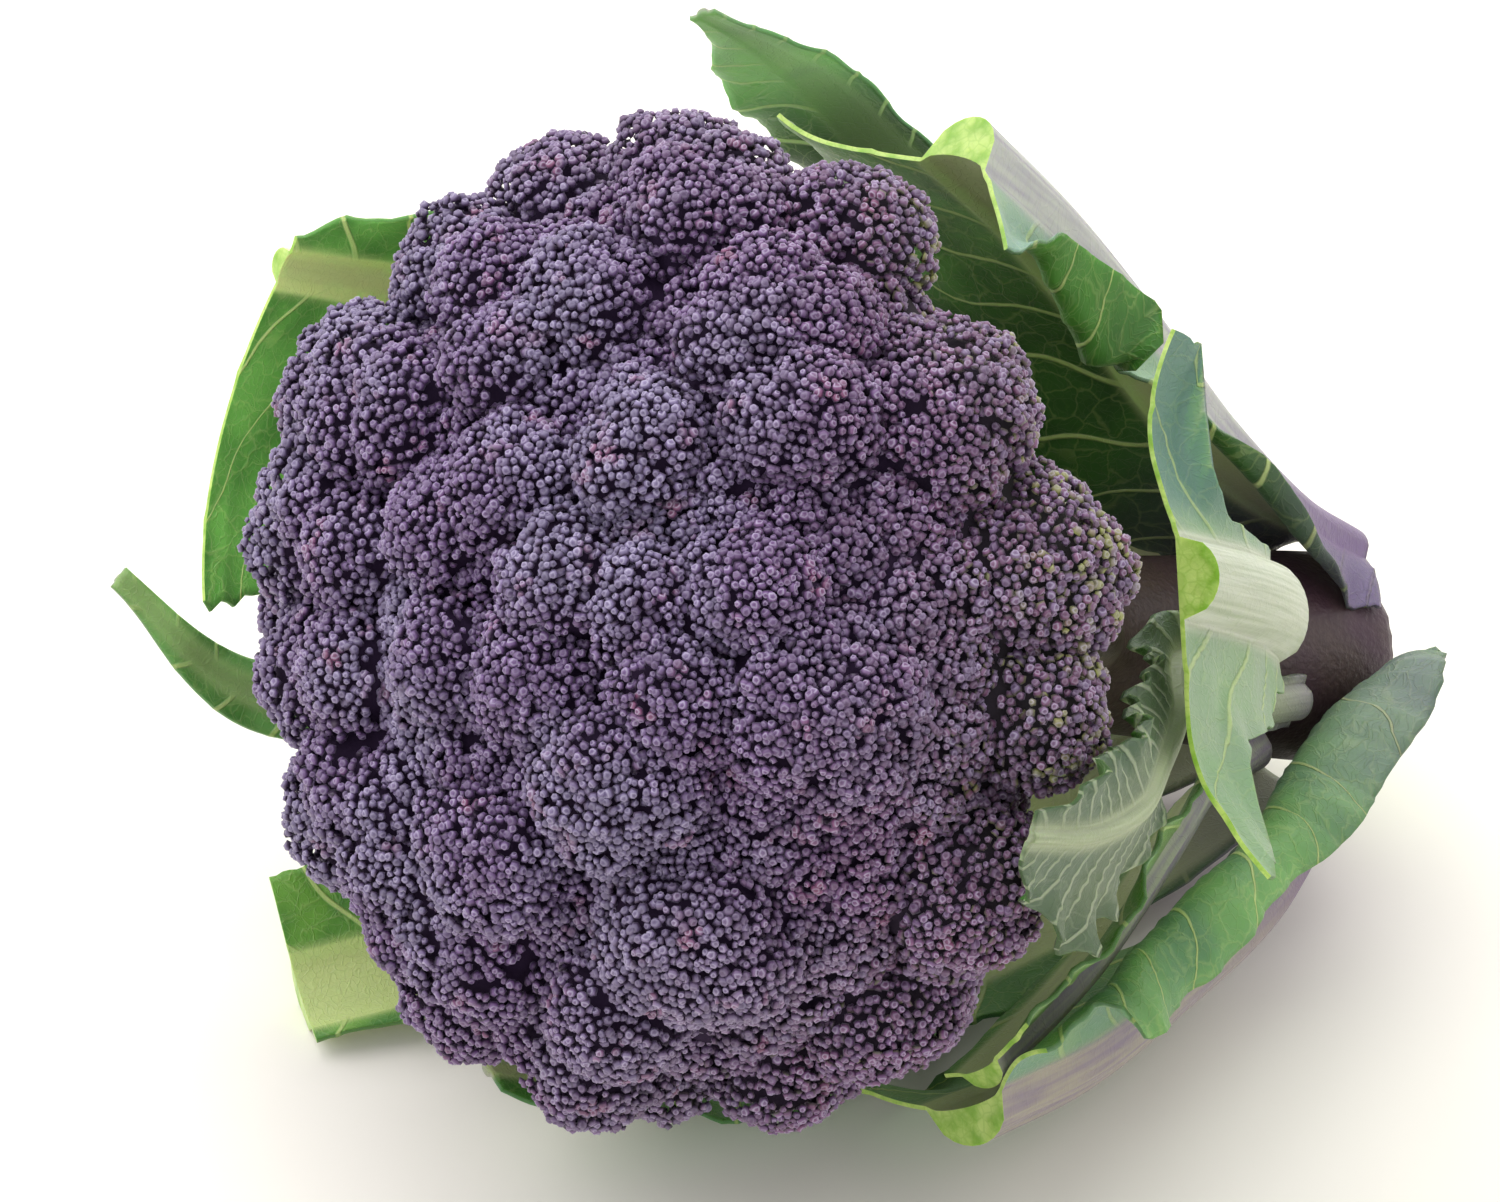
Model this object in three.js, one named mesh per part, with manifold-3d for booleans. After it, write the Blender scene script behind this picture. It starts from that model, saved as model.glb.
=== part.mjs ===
// Purple headed broccoli with its trimmed outer leaves, lying on its side as on a table.
// Millimetres, Z up. The plant is built upright about its own axis and then laid down:
// the cut butt points to +X and away, the head to -X and towards the front.
import * as THREE from "three";
import { ConvexHull } from "three/addons/math/ConvexHull.js";
import Module from "manifold-3d";

const wasm = await Module();
wasm.setup();

// Pose of the whole plant.
const TURN = 32; // degrees the axis is turned about Z
const LEAN = 27; // degrees the axis rises from the floor towards the head
const HEAD_AT = 165; // height of the widest ring of the head above the cut butt
const HEAD_ABOVE_FLOOR = 99; // height of the head's middle over the floor, lying down

// Head: a flattened ball of florets.
const HEAD_R = 87;
const HEAD_POLE = 63;
const UNDERSIDE = 34; // depth of the underside below the widest ring
const CORE = 0.94; // share of the head's radius that the creases between florets reach down to
const BUDS = 1300; // larger than life: one bump stands for a cluster of real buds
const BUD_UP = 0.9;
const BUD_PIT = 1.2;
const GAP = 0.32; // clearance between pieces that grow on one another

// The larger florets: [azimuth, height angle, radius of the floret, and how far it stands proud].
// Azimuth 0 is the upper side of the lying plant, 180 the floor side, negative the near side.
const FLORETS = [
  [11, 14, 21], [-13, 18, 22], [14, 34, 16], [26, 47, 16], [62, 50, 15, 2], [-31, 2, 20], [-50, -8, 24],
  [-30, 22, 14], [-26, 43, 15], [-2, 62, 15], [-48, 60, 13], [34, 76, 14], [102, 62, 13], [146, 61, 12],
  [-134, 79, 14], [-82, 62, 14], [-56, 45, 14], [-55, 31, 13], [-71, 19, 22], [-74, 40, 13],
  [-97, 42, 19], [-137, 45, 19], [-176, 52, 14], [-170, 34, 18], [-112, 20, 23], [-92, -6, 21],
  [-67, -8, 16], [-134, 20, 17], [-153, 8, 21], [-176, 12, 20], [160, 30, 19], [138, 42, 17],
  [150, 6, 22], [126, 22, 19], [106, 40, 16, 3], [124, -4, 20], [100, 12, 21, 3], [84, 30, 18, 4],
  [76, 2, 20], [58, 22, 19], [50, 8, 18], [74, 44, 18, 4], [96, 47, 17, 3.5], [-172, 42, 18],
  [172, 47, 17], [-157, 31, 18], [40, 34, 15], [28, 9, 15], [-2, 4, 16], [-114, -8, 19], [-134, -8, 18],
  [175, -6, 18], [-158, -8, 16],
];

// Stalk.
const BUTT = 11.5; // height of the cut face
const STALK_R = 19.5;
const BRANCHES = 11;
const BRANCH_R = 6.2;

// Leaves.
const BLADE = 1.2;

const rad = THREE.MathUtils.degToRad;
const mix = THREE.MathUtils.lerp;

function upright(azimuth, radius, height) {
  return new THREE.Vector3(
    radius * Math.cos(rad(azimuth)),
    radius * Math.sin(rad(azimuth)),
    height,
  );
}

function direction(azimuth, tilt) {
  return upright(azimuth, Math.cos(rad(tilt)), Math.sin(rad(tilt)));
}

// Laying the plant down.
const LAY = new THREE.Matrix4()
  .makeRotationZ(rad(TURN))
  .multiply(new THREE.Matrix4().makeRotationY(rad(LEAN - 90)));
const HEAD_MIDDLE = new THREE.Vector3(0, 0, HEAD_AT).applyMatrix4(LAY);
LAY.premultiply(
  new THREE.Matrix4().makeTranslation(0, 0, HEAD_ABOVE_FLOOR - HEAD_MIDDLE.z),
);

// Closed body from points and faces, in the plant's own upright frame.
function body(points, faces) {
  const laid = points.map((p) => p.clone().applyMatrix4(LAY));
  const vertProperties = new Float32Array(laid.length * 3);
  laid.forEach((p, i) => p.toArray(vertProperties, i * 3));
  return new wasm.Manifold(
    new wasm.Mesh({
      numProp: 3,
      vertProperties,
      triVerts: new Uint32Array(faces.flat()),
    }),
  );
}

// Distance from the head's middle to its skin along a unit direction.
const FLORET_BALLS = FLORETS.map(([azimuth, tilt, radius, proud = 0]) => {
  const way = direction(azimuth, tilt);
  const reach = ellipsoid(way, HEAD_R, HEAD_POLE) + proud;
  return { middle: way.multiplyScalar(reach - radius), radius };
});

function ellipsoid(way, wide, tall) {
  const flat = (way.x * way.x + way.y * way.y) / (wide * wide);
  return 1 / Math.sqrt(flat + (way.z * way.z) / (tall * tall));
}

function headReach(way) {
  const tall = way.z > 0 ? HEAD_POLE * CORE : UNDERSIDE;
  let reach = ellipsoid(way, HEAD_R * (way.z > 0 ? CORE : 0.9), tall);
  for (const ball of FLORET_BALLS) {
    const along = ball.middle.dot(way);
    const inside = along * along - ball.middle.lengthSq() + ball.radius ** 2;
    if (inside > 0) reach = Math.max(reach, along + Math.sqrt(inside));
  }
  return reach;
}

// Even spread of directions, thinned on the smooth underside.
function spread(count) {
  const ways = [];
  for (let i = 0; i < count; i++) {
    const z = 1 - (2 * (i + 0.5)) / count;
    const flat = Math.sqrt(1 - z * z);
    const turn = i * Math.PI * (3 - Math.sqrt(5));
    const under = z < -0.45;
    if (under && i % 3 !== 0) continue;
    const way = new THREE.Vector3(flat * Math.cos(turn), flat * Math.sin(turn), z);
    way.under = under;
    ways.push(way);
  }
  return ways;
}

// Faces of the round net over the directions.
function netOver(ways) {
  const hull = new ConvexHull().setFromPoints(ways);
  const index = new Map(ways.map((way, i) => [way, i]));
  return hull.faces.map((face) => {
    const corners = [];
    let edge = face.edge;
    do {
      corners.push(index.get(edge.head().point));
      edge = edge.next;
    } while (edge !== face.edge);
    return corners;
  });
}

// The head: every bud a six-sided bump between pits, the underside smooth.
function headBody(grow) {
  const ways = spread(BUDS);
  const net = netOver(ways);
  const middle = new THREE.Vector3(0, 0, HEAD_AT);
  const at = (way, rise) =>
    way.clone().multiplyScalar(headReach(way) + rise + grow).add(middle);
  const points = ways.map((way) => at(way, way.under ? 0 : BUD_UP));
  const pit = new Map();
  const face = new Map();
  net.forEach((corners, i) => {
    corners.forEach((a, k) => face.set(a + "/" + corners[(k + 1) % 3], i));
    if (corners.some((c) => ways[c].under)) return;
    const way = new THREE.Vector3();
    corners.forEach((c) => way.add(ways[c]));
    pit.set(i, points.length);
    points.push(at(way.normalize(), -BUD_PIT));
  });
  const faces = [];
  net.forEach((corners, i) => {
    if (!pit.has(i)) {
      faces.push(corners);
      return;
    }
    corners.forEach((a, k) => {
      const b = corners[(k + 1) % 3];
      const across = face.get(b + "/" + a);
      faces.push(
        pit.has(across) ? [a, pit.get(across), pit.get(i)] : [a, b, pit.get(i)],
      );
    });
  });
  return body(points, faces);
}

// A round tapering limb along a list of [point, radius].
function limb(stations, sides) {
  const points = [];
  const faces = [];
  stations.forEach(([p, r], i) => {
    const before = stations[Math.max(0, i - 1)][0];
    const after = stations[Math.min(stations.length - 1, i + 1)][0];
    const along = after.clone().sub(before).normalize();
    const side = new THREE.Vector3(0, 1, 0).cross(along);
    if (side.length() < 0.2) side.set(1, 0, 0);
    side.normalize();
    const other = along.clone().cross(side);
    for (let k = 0; k < sides; k++) {
      const turn = (2 * Math.PI * k) / sides;
      points.push(
        p.clone()
          .addScaledVector(side, r * Math.cos(turn))
          .addScaledVector(other, r * Math.sin(turn)),
      );
    }
  });
  const rows = stations.length;
  for (let i = 0; i + 1 < rows; i++)
    for (let k = 0; k < sides; k++) {
      const a = i * sides + k;
      const b = i * sides + ((k + 1) % sides);
      faces.push([a, b, b + sides], [a, b + sides, a + sides]);
    }
  const foot = points.push(stations[0][0].clone()) - 1;
  const tip = points.push(stations[rows - 1][0].clone()) - 1;
  for (let k = 0; k < sides; k++) {
    const next = (k + 1) % sides;
    faces.push([foot, next, k]);
    faces.push([tip, (rows - 1) * sides + k, (rows - 1) * sides + next]);
  }
  return body(points, faces);
}

// The stalk: a thick trunk that splits into branches under the florets.
function stalkBody(headOutside) {
  const v = (h) => new THREE.Vector3(0, 0, h);
  let stalk = limb(
    [
      [v(BUTT), STALK_R],
      [v(26), STALK_R - 0.5],
      [v(48), STALK_R - 2.5],
      [v(74), STALK_R - 4],
      [v(98), STALK_R - 5],
      [v(HEAD_AT - 20), 9],
    ],
    18,
  );
  for (let i = 0; i < BRANCHES; i++) {
    const azimuth = (360 / BRANCHES) * i + 9;
    const low = 66 + (i % 3) * 5;
    const out = 46 + (i % 2) * 12;
    stalk = stalk.add(
      limb(
        [
          [upright(azimuth, 6, low), BRANCH_R * 0.9],
          [upright(azimuth, 15, low + 20), BRANCH_R],
          [upright(azimuth, out * 0.6, low + 40), BRANCH_R * 1.05],
          [upright(azimuth, out, HEAD_AT - 16), BRANCH_R * 1.45],
        ],
        8,
      ),
    );
  }
  return stalk.subtract(headOutside);
}

// Smooth value at t from rows whose first number is t.
function along(rows, t) {
  let i = 0;
  while (i < rows.length - 2 && t > rows[i + 1][0]) i++;
  const [a, b] = [rows[i], rows[i + 1]];
  const u = THREE.MathUtils.clamp((t - a[0]) / (b[0] - a[0]), 0, 1);
  const s = u * u * (3 - 2 * u);
  return a.slice(1).map((value, k) => mix(value, b[k + 1], s));
}

// One half of a blade at one station: points from the rib to the margin with their outward normals.
function halfBlade(leaf, side, t, start, T, N, B) {
  const sign = side === "near" ? -1 : 1;
  const [wide, ...bends] = along(leaf[side], t);
  const sweep = bends.pop();
  const knots = bends.length === 3 ? [0, 0.55, 1] : [0, 0.35, 0.65, 1];
  const [amp, cycles, phase] = leaf.wave;
  const way = B.clone()
    .multiplyScalar(sign * Math.cos(rad(sweep)))
    .addScaledVector(T, Math.sin(rad(sweep)));
  const p = start.clone();
  const out = [];
  const steps = leaf.strips * 4;
  for (let k = 0; k <= steps; k++) {
    const q = k / steps;
    let j = 0;
    while (j < knots.length - 2 && q > knots[j + 1]) j++;
    const bend = rad(mix(bends[j], bends[j + 1], (q - knots[j]) / (knots[j + 1] - knots[j])));
    const normal = N.clone().multiplyScalar(Math.cos(bend)).addScaledVector(way, Math.sin(bend));
    if (k % 4 === 0 && k > 0) {
      const ripple =
        amp * Math.min(1, wide / 14) * q * q * Math.sin(2 * Math.PI * (cycles * t + phase + 0.3 * sign));
      out.push([p.clone().addScaledVector(normal, ripple), normal]);
    }
    const step = wide / steps;
    p.addScaledVector(way, step * Math.cos(bend)).addScaledVector(N, -step * Math.sin(bend));
  }
  return out;
}

// A leaf: midrib with its stalk, blade on both sides, one closed sheet.
function leafBody(leaf) {
  const spine = new THREE.CatmullRomCurve3(
    leaf.rib.map(([azimuth, radius, height]) => upright(azimuth, radius, height)),
    false,
    "centripetal",
  );
  const rows = leaf.rows;
  const outer = [];
  const inner = [];
  for (let i = 0; i <= rows; i++) {
    const t = i / rows;
    const P = spine.getPoint(t);
    const T = spine.getTangent(t);
    const N = new THREE.Vector3(P.x, P.y, 0).normalize();
    N.addScaledVector(T, -N.dot(T)).normalize();
    const B = T.clone().cross(N);
    const [half] = along(leaf.half, t);
    const deep = mix(leaf.deep[0], leaf.deep[1], t);
    const out = [];
    const inn = [];
    const put = ([p, normal]) => {
      out.push(p.clone().addScaledVector(normal, BLADE / 2));
      inn.push(p.clone().addScaledVector(normal, -BLADE / 2));
    };
    const edge = (sign) => P.clone().addScaledVector(B, sign * half);
    halfBlade(leaf, "near", t, edge(-1), T, N, B).reverse().forEach(put);
    put([edge(-1), N]);
    for (const q of [-0.62, 0, 0.62]) {
      const round = Math.sqrt(1 - q * q);
      const mid = P.clone().addScaledVector(B, q * half);
      out.push(mid.clone().addScaledVector(N, BLADE / 2 + deep * round));
      inn.push(mid.addScaledVector(N, -BLADE / 2 + deep * leaf.hollow * round));
    }
    put([edge(1), N]);
    halfBlade(leaf, "far", t, edge(1), T, N, B).forEach(put);
    outer.push(out);
    inner.push(inn);
  }
  const cols = outer[0].length;
  const points = [...outer.flat(), ...inner.flat()];
  const under = (rows + 1) * cols;
  const faces = [];
  const quad = (a, b, c, d) => faces.push([a, b, c], [a, c, d]);
  for (let i = 0; i < rows; i++)
    for (let k = 0; k + 1 < cols; k++) {
      const a = i * cols + k;
      quad(a, a + 1, a + 1 + cols, a + cols);
      faces.push([under + a, under + a + cols + 1, under + a + 1]);
      faces.push([under + a, under + a + cols, under + a + cols + 1]);
    }
  for (let i = 0; i < rows; i++) {
    const a = i * cols;
    const b = a + cols - 1;
    quad(a + cols, under + a + cols, under + a, a);
    quad(b, under + b, under + b + cols, b + cols);
  }
  for (let k = 0; k + 1 < cols; k++) {
    const b = rows * cols + k;
    quad(k, under + k, under + k + 1, k + 1);
    quad(b + 1, under + b + 1, under + b, b);
  }
  return body(points, faces);
}

// Rib: [azimuth, radius, height]. Halves of the blade, "near" towards lower azimuth:
// [share of length, width, three or four bends from the rib to the margin, sweep forward].
// A bend is in degrees, positive towards the head, negative outwards. A strip is a step of the
// net from the rib to the margin, a row a step along the rib.
const LEAVES = {
  leaf_upper: {
    rib: [[13, 20.5, 13], [18, 25, 29], [21, 38, 53.4], [22, 55, 77.4], [22, 69, 100], [22, 80.5, 123]],
    half: [[0, 5.2], [0.35, 9], [1, 8]],
    deep: [4, 9.5],
    rows: 20,
    strips: 4,
    hollow: 0.25,
    near: [
      [0, 12, 15, 25, 34, 44, 0], [0.1, 13, 35, 45, 50, 40, 0], [0.22, 13, 40, 50, 20, -70, 0],
      [0.38, 9, 50, 40, -50, -100, 0], [0.5, 10, 60, 60, 10, -40, 0], [0.66, 13, 75, 75, 50, 20, 0],
      [0.71, 34, 78, 75, -75, -98, 0], [0.76, 28, 78, 75, -70, -95, 0], [0.82, 22, 75, 75, -60, -85, 0],
      [0.88, 16, 65, 70, -40, -80, 0], [0.94, 17, 50, 60, 20, -30, 0], [1, 20, 38, 38, 38, 38, 0],
    ],
    far: [
      [0, 3, 20, 20, 10, 0], [0.1, 11, 35, 45, 45, 0], [0.2, 19, 50, 55, 50, 0], [0.4, 30, 45, 50, 40, 0],
      [0.62, 26, 25, 30, 15, 0], [0.85, 32, 8, 5, -15, 5], [1, 34, 10, 5, -20, 12],
    ],
    wave: [1, 3, 0],
    colour: 0x6f9a5b,
  },
  leaf_top: {
    rib: [
      [49, 22.5, 13], [54, 34, 31], [56, 52, 52], [55, 72, 72], [54, 90, 91], [51, 101, 110],
      [48, 105, 128], [46, 108, 146],
    ],
    half: [[0, 5.2], [0.3, 7.5], [0.7, 4], [1, 1.2]],
    deep: [4, 0.8],
    rows: 13,
    strips: 3,
    hollow: 0.25,
    near: [
      [0, 1.5, 0, 0, 0, 0], [0.25, 4, 0, 0, 0, 0], [0.5, 6, 0, 20, 40, 0], [0.8, 4, 0, 20, 40, 0],
      [1, 1.5, 0, 0, 0, 0],
    ],
    far: [
      [0, 1.5, 0, 0, 0, 0], [0.25, 2, 0, 0, 0, 0], [0.5, 14, 0, 0, -10, 0], [0.8, 12, 0, -10, -30, 0],
      [1, 1.5, 0, 0, 0, 0],
    ],
    wave: [2, 3, 0.2],
    colour: 0x3f8a3c,
  },
  leaf_near: {
    rib: [[-48, 19, 50], [-49, 31, 59], [-50, 46, 73], [-50, 60, 94], [-50, 72, 122]],
    half: [[0, 5.2], [0.35, 8], [1, 6.8]],
    deep: [5, 6.5],
    rows: 15,
    strips: 4,
    hollow: 0,
    near: [
      [0, 1.5, 0, 0, 0, 0, 0], [0.5, 6, 0, 0, 0, 0, 0], [0.7, 15, 0, 0, 0, -10, 0],
      [0.8, 18, 0, 0, -5, -15, 0], [0.87, 22, 0, 0, -20, -30, 0], [0.93, 42, -5, 0, -25, -38, 0],
      [1, 48, 0, 0, -28, -40, 0],
    ],
    far: [
      [0, 1.5, 0, 0, 0, 0, 0], [0.6, 3, 10, 10, 0, 0, 0], [0.8, 5, 15, 10, 0, -10, 0],
      [0.87, 11, 18, 12, -10, -25, 0], [0.93, 36, 20, 14, -10, -30, -10], [1, 38, 20, 15, -10, -30, -10],
    ],
    wave: [0.8, 3, 0.4],
    colour: 0x8fa882,
  },
  leaf_lower: {
    rib: [
      [-128, 21.5, 13], [-129, 30, 25], [-131, 47.5, 44], [-132, 62.5, 70], [-133, 73.5, 92],
      [-134, 81, 116],
    ],
    half: [[0, 5.5], [0.3, 9], [1, 10]],
    deep: [4, 8],
    rows: 18,
    strips: 5,
    hollow: 0.25,
    near: [
      [0, 1.5, 10, 20, 10, 0], [0.3, 5, 15, 20, 10, 0], [0.6, 14, 10, 15, 10, 0],
      [0.85, 25, 0, 4, 4, 0], [1, 22, 15, 25, 25, 0],
    ],
    far: [
      [0, 18, 12, 30, 42, 30, -25], [0.08, 35, 40, 50, 10, -50, -20], [0.19, 40, 65, 55, -30, -60, -8],
      [0.3, 37, 75, 60, -40, -68, 0], [0.5, 32, 75, 65, -20, -110, 0], [0.7, 30, 75, 60, -60, -120, 0],
      [0.84, 27, 60, 40, -40, -100, 0], [0.9, 18, 50, 40, 20, 0, 0], [1, 16, 40, 30, 10, 0, 0],
    ],
    wave: [1, 4, 0.1],
    colour: 0x6c8f6a,
  },
  leaf_young: {
    rib: [
      [-80, 22.5, 40], [-79, 27, 58], [-68, 34.5, 79], [-63, 46.5, 97], [-70, 60, 109],
      [-74.5, 71.5, 122], [-77.5, 83, 136], [-78.5, 90.5, 153], [-77.5, 96, 172],
    ],
    half: [[0, 3.5], [0.5, 2.6], [1, 1]],
    deep: [3, 0.9],
    rows: 18,
    strips: 3,
    hollow: 0.25,
    near: [
      [0, 1.5, 0, 0, 0, 0], [0.6, 2, 0, 0, 0, 0], [0.7, 8, 0, 0, 0, 0], [0.78, 17, 10, 0, -10, 0],
      [0.85, 21, 10, 0, -10, 0], [0.93, 12, 10, 0, 0, 0], [1, 3, 0, 0, 0, 0],
    ],
    far: [
      [0, 1.5, 0, 0, 0, 0], [0.25, 3, 0, 0, 0, 0], [0.45, 9, 10, 20, 20, 0], [0.65, 12, 10, 20, 30, 0],
      [0.85, 12, 0, 10, 20, 0], [1, 3, 0, 0, 0, 0],
    ],
    wave: [2, 5, 0.3],
    colour: 0x9db095,
  },
  leaf_back: {
    rib: [
      [84, 23.5, 14], [86, 36, 35], [87, 56, 66], [88, 78, 100], [88, 95, 135], [88, 103, 162],
      [88, 106, 187],
    ],
    half: [[0, 5.2], [0.3, 7.5], [1, 3.2]],
    deep: [4, 4],
    rows: 15,
    strips: 3,
    hollow: 0.25,
    near: [
      [0, 1.5, 0, 0, 0, 0], [0.2, 1.5, 0, 0, 0, 0], [0.45, 10, 0, 10, 20, 0], [0.7, 17, 5, 20, 30, 0],
      [0.86, 20, 10, 25, 30, 0], [0.94, 9, 0, 10, 20, 0], [1, 3, 0, 0, 0, 0],
    ],
    far: [
      [0, 1.5, 0, 0, 0, 0], [0.25, 3, 0, 0, 0, 0], [0.45, 12, 0, 20, 20, 0], [0.7, 28, 5, 28, 45, 0],
      [0.85, 52, 5, 28, 50, 3], [1, 62, 5, 28, 50, 6],
    ],
    wave: [2, 3, 0.5],
    colour: 0x4c9a3c,
  },
  leaf_thin: {
    rib: [
      [124, 23.5, 13], [128, 40, 36], [131, 62, 70], [133, 84, 110], [132, 97, 150], [130, 103, 182],
      [120, 108, 205],
    ],
    half: [[0, 5.2], [0.3, 6.5], [1, 1]],
    deep: [4, 0.8],
    rows: 13,
    strips: 3,
    hollow: 0.25,
    near: [
      [0, 1.5, 0, 0, 0, 0], [0.2, 1.5, 0, 0, 0, 0], [0.45, 8, 0, 10, 20, 0], [0.8, 4, 0, 0, 0, 0],
      [1, 1.2, 0, 0, 0, 0],
    ],
    far: [
      [0, 1.5, 0, 0, 0, 0], [0.2, 1.5, 0, 0, 0, 0], [0.45, 8, 0, 10, 20, 0], [0.8, 5, 0, 0, 0, 0],
      [1, 1.2, 0, 0, 0, 0],
    ],
    wave: [1, 3, 0.1],
    colour: 0x3f8f3a,
  },
  leaf_left: {
    rib: [
      [158, 23.5, 14], [160, 38, 36], [160, 59, 70], [160, 81, 110], [159, 99.8, 145],
      [158, 116.4, 171],
    ],
    half: [[0, 5.2], [0.35, 7.5], [1, 7]],
    deep: [4, 6],
    rows: 13,
    strips: 3,
    hollow: 0.25,
    near: [
      [0, 1.5, 0, 0, 0, 0], [0.2, 1.5, 0, 0, 0, 0], [0.45, 8, 10, 20, 20, 0], [0.8, 19, 20, 30, 20, 0],
      [1, 16, 20, 30, 20, 0],
    ],
    far: [[0, 1.5, 0, 0, 0, 0], [0.3, 2, 10, 20, 20, 0], [0.8, 6, 20, 20, 20, 0], [1, 4, 20, 20, 20, 0]],
    wave: [1.5, 3, 0.7],
    colour: 0x5c9a45,
  },
  leaf_floor: {
    rib: [
      [-168, 23.5, 13], [-169, 36.6, 31], [-170, 52.4, 56], [-171, 68.4, 86], [-173, 83.4, 116],
      [-176, 91, 142], [-179, 91, 166],
    ],
    half: [[0, 5.2], [0.3, 7], [1, 2]],
    deep: [4, 1],
    rows: 13,
    strips: 3,
    hollow: 0.25,
    near: [
      [0, 1.5, 0, 0, 0, 0], [0.3, 2, 0, 0, 0, 0], [0.5, 6, 0, 10, 20, 0], [0.8, 8, 0, 10, 10, 0],
      [1, 4, 0, 0, 0, 0],
    ],
    far: [
      [0, 1.5, 0, 0, 0, 0], [0.3, 3, 0, 0, 0, 0], [0.5, 12, 0, 10, 20, 0], [0.7, 17, 0, 10, 20, 0],
      [0.9, 12, 0, 10, 10, 0], [1, 5, 0, 0, 0, 0],
    ],
    wave: [1.5, 4, 0.2],
    colour: 0x4a8f3f,
  },
  leaf_inner: {
    rib: [[-108, 22, 44], [-113, 28.5, 59], [-119, 41, 73], [-125, 60, 94], [-129, 77, 118]],
    half: [[0, 4.5], [0.4, 6], [1, 5.5]],
    deep: [4, 4],
    rows: 12,
    strips: 3,
    hollow: 0.25,
    near: [[0, 1.5, 0, 0, 0, 0], [0.5, 3, 20, 20, 20, 0], [1, 4, 20, 20, 20, 0]],
    far: [[0, 1.5, 0, 0, 0, 0], [0.4, 8, 15, 10, 10, 0], [0.7, 18, 15, 10, 10, 0], [1, 14, 10, 10, 0, 0]],
    wave: [1.5, 3, 0.6],
    colour: 0x4f9440,
  },
};

const FINISHES = {
  head: { color: 0x55406e, roughness: 0.62 },
  stalk: { color: 0xb7c98c, roughness: 0.5 },
};

function meshOf(name, solid, finish) {
  const trimmed = solid.trimByPlane([0, 0, 1], 0);
  const data = trimmed.getMesh();
  const geometry = new THREE.BufferGeometry();
  geometry.setAttribute("position", new THREE.BufferAttribute(data.vertProperties, 3));
  geometry.setIndex(new THREE.BufferAttribute(data.triVerts, 1));
  geometry.computeVertexNormals();
  const mesh = new THREE.Mesh(
    geometry,
    new THREE.MeshStandardMaterial({ ...finish, metalness: 0 }),
  );
  mesh.name = name;
  return mesh;
}

const plant = new THREE.Group();
plant.add(meshOf("head", headBody(0), FINISHES.head));
plant.add(meshOf("stalk", stalkBody(headBody(GAP)), FINISHES.stalk));
for (const [name, leaf] of Object.entries(LEAVES))
  plant.add(meshOf(name, leafBody(leaf), { color: leaf.colour, roughness: 0.48 }));

// The part's origin is under the middle of the lying plant.
const box = new THREE.Box3().setFromObject(plant, true);
const under = box.getCenter(new THREE.Vector3());
plant.children.forEach((mesh) => mesh.geometry.translate(-under.x, -under.y, 0));
plant.userData.headMiddle = [HEAD_MIDDLE.x - under.x, HEAD_MIDDLE.y - under.y, HEAD_ABOVE_FLOOR];

export default plant;
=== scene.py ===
"""Purple broccoli, cut and trimmed, lying on its side on a pale table.

The plant is worked out upright in millimetres, about its own axis, and then laid down in the
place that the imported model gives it. The head is a ball of florets covered with single buds,
and each leaf is one closed sheet that is folded, waved and cut as the trimmed leaves are.
"""

import logging
import math
from dataclasses import dataclass, field
from enum import Enum
from typing import Any, Dict, List, NamedTuple, Optional, Sequence, Tuple, Union

import bmesh
import bpy
import numpy as np
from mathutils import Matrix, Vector
from mathutils.kdtree import KDTree


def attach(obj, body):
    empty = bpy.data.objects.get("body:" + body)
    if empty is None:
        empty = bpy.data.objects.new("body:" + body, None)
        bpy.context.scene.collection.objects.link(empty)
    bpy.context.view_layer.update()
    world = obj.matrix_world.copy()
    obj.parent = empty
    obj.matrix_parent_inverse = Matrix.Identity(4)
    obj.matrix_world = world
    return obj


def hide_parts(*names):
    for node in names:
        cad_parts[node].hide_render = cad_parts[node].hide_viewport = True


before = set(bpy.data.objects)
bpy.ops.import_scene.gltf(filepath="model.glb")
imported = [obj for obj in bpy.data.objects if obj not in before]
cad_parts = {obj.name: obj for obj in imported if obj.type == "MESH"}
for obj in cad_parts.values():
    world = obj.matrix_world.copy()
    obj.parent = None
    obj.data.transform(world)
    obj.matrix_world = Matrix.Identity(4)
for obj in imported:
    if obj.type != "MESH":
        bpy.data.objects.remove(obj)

LOG = logging.getLogger("broccoli")
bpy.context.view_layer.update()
MM = 0.001

Row = Sequence[float]
Rows = Sequence[Row]
Size = Union[float, np.ndarray]


class Side(Enum):
    """The two halves of a blade, seen along the rib from the stalk."""

    NEAR = "near"
    FAR = "far"

    @property
    def sign(self) -> float:
        """Way across the rib that this half grows."""
        return -1.0 if self is Side.NEAR else 1.0


def smooth(low: float, high: float, value: np.ndarray) -> np.ndarray:
    """Eased step from 0 at low to 1 at high.

    Args:
        low: Value where the step starts.
        high: Value where it ends, which may be the smaller one.
        value: Values to ease.

    Returns:
        Shares from 0 to 1.
    """
    t = np.clip((value - low) / (high - low), 0.0, 1.0)
    return t * t * (3.0 - 2.0 * t)


def unit(vectors: np.ndarray) -> np.ndarray:
    """Vectors of length one along the last axis."""
    least = 1e-9
    return vectors / np.maximum(np.linalg.norm(vectors, axis=-1, keepdims=True), least)


def cylinder_point(azimuth: float, radius: float, height: float) -> np.ndarray:
    """Point of the upright plant from its azimuth in degrees, radius and height."""
    a = math.radians(azimuth)
    return np.array([radius * math.cos(a), radius * math.sin(a), height])


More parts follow.
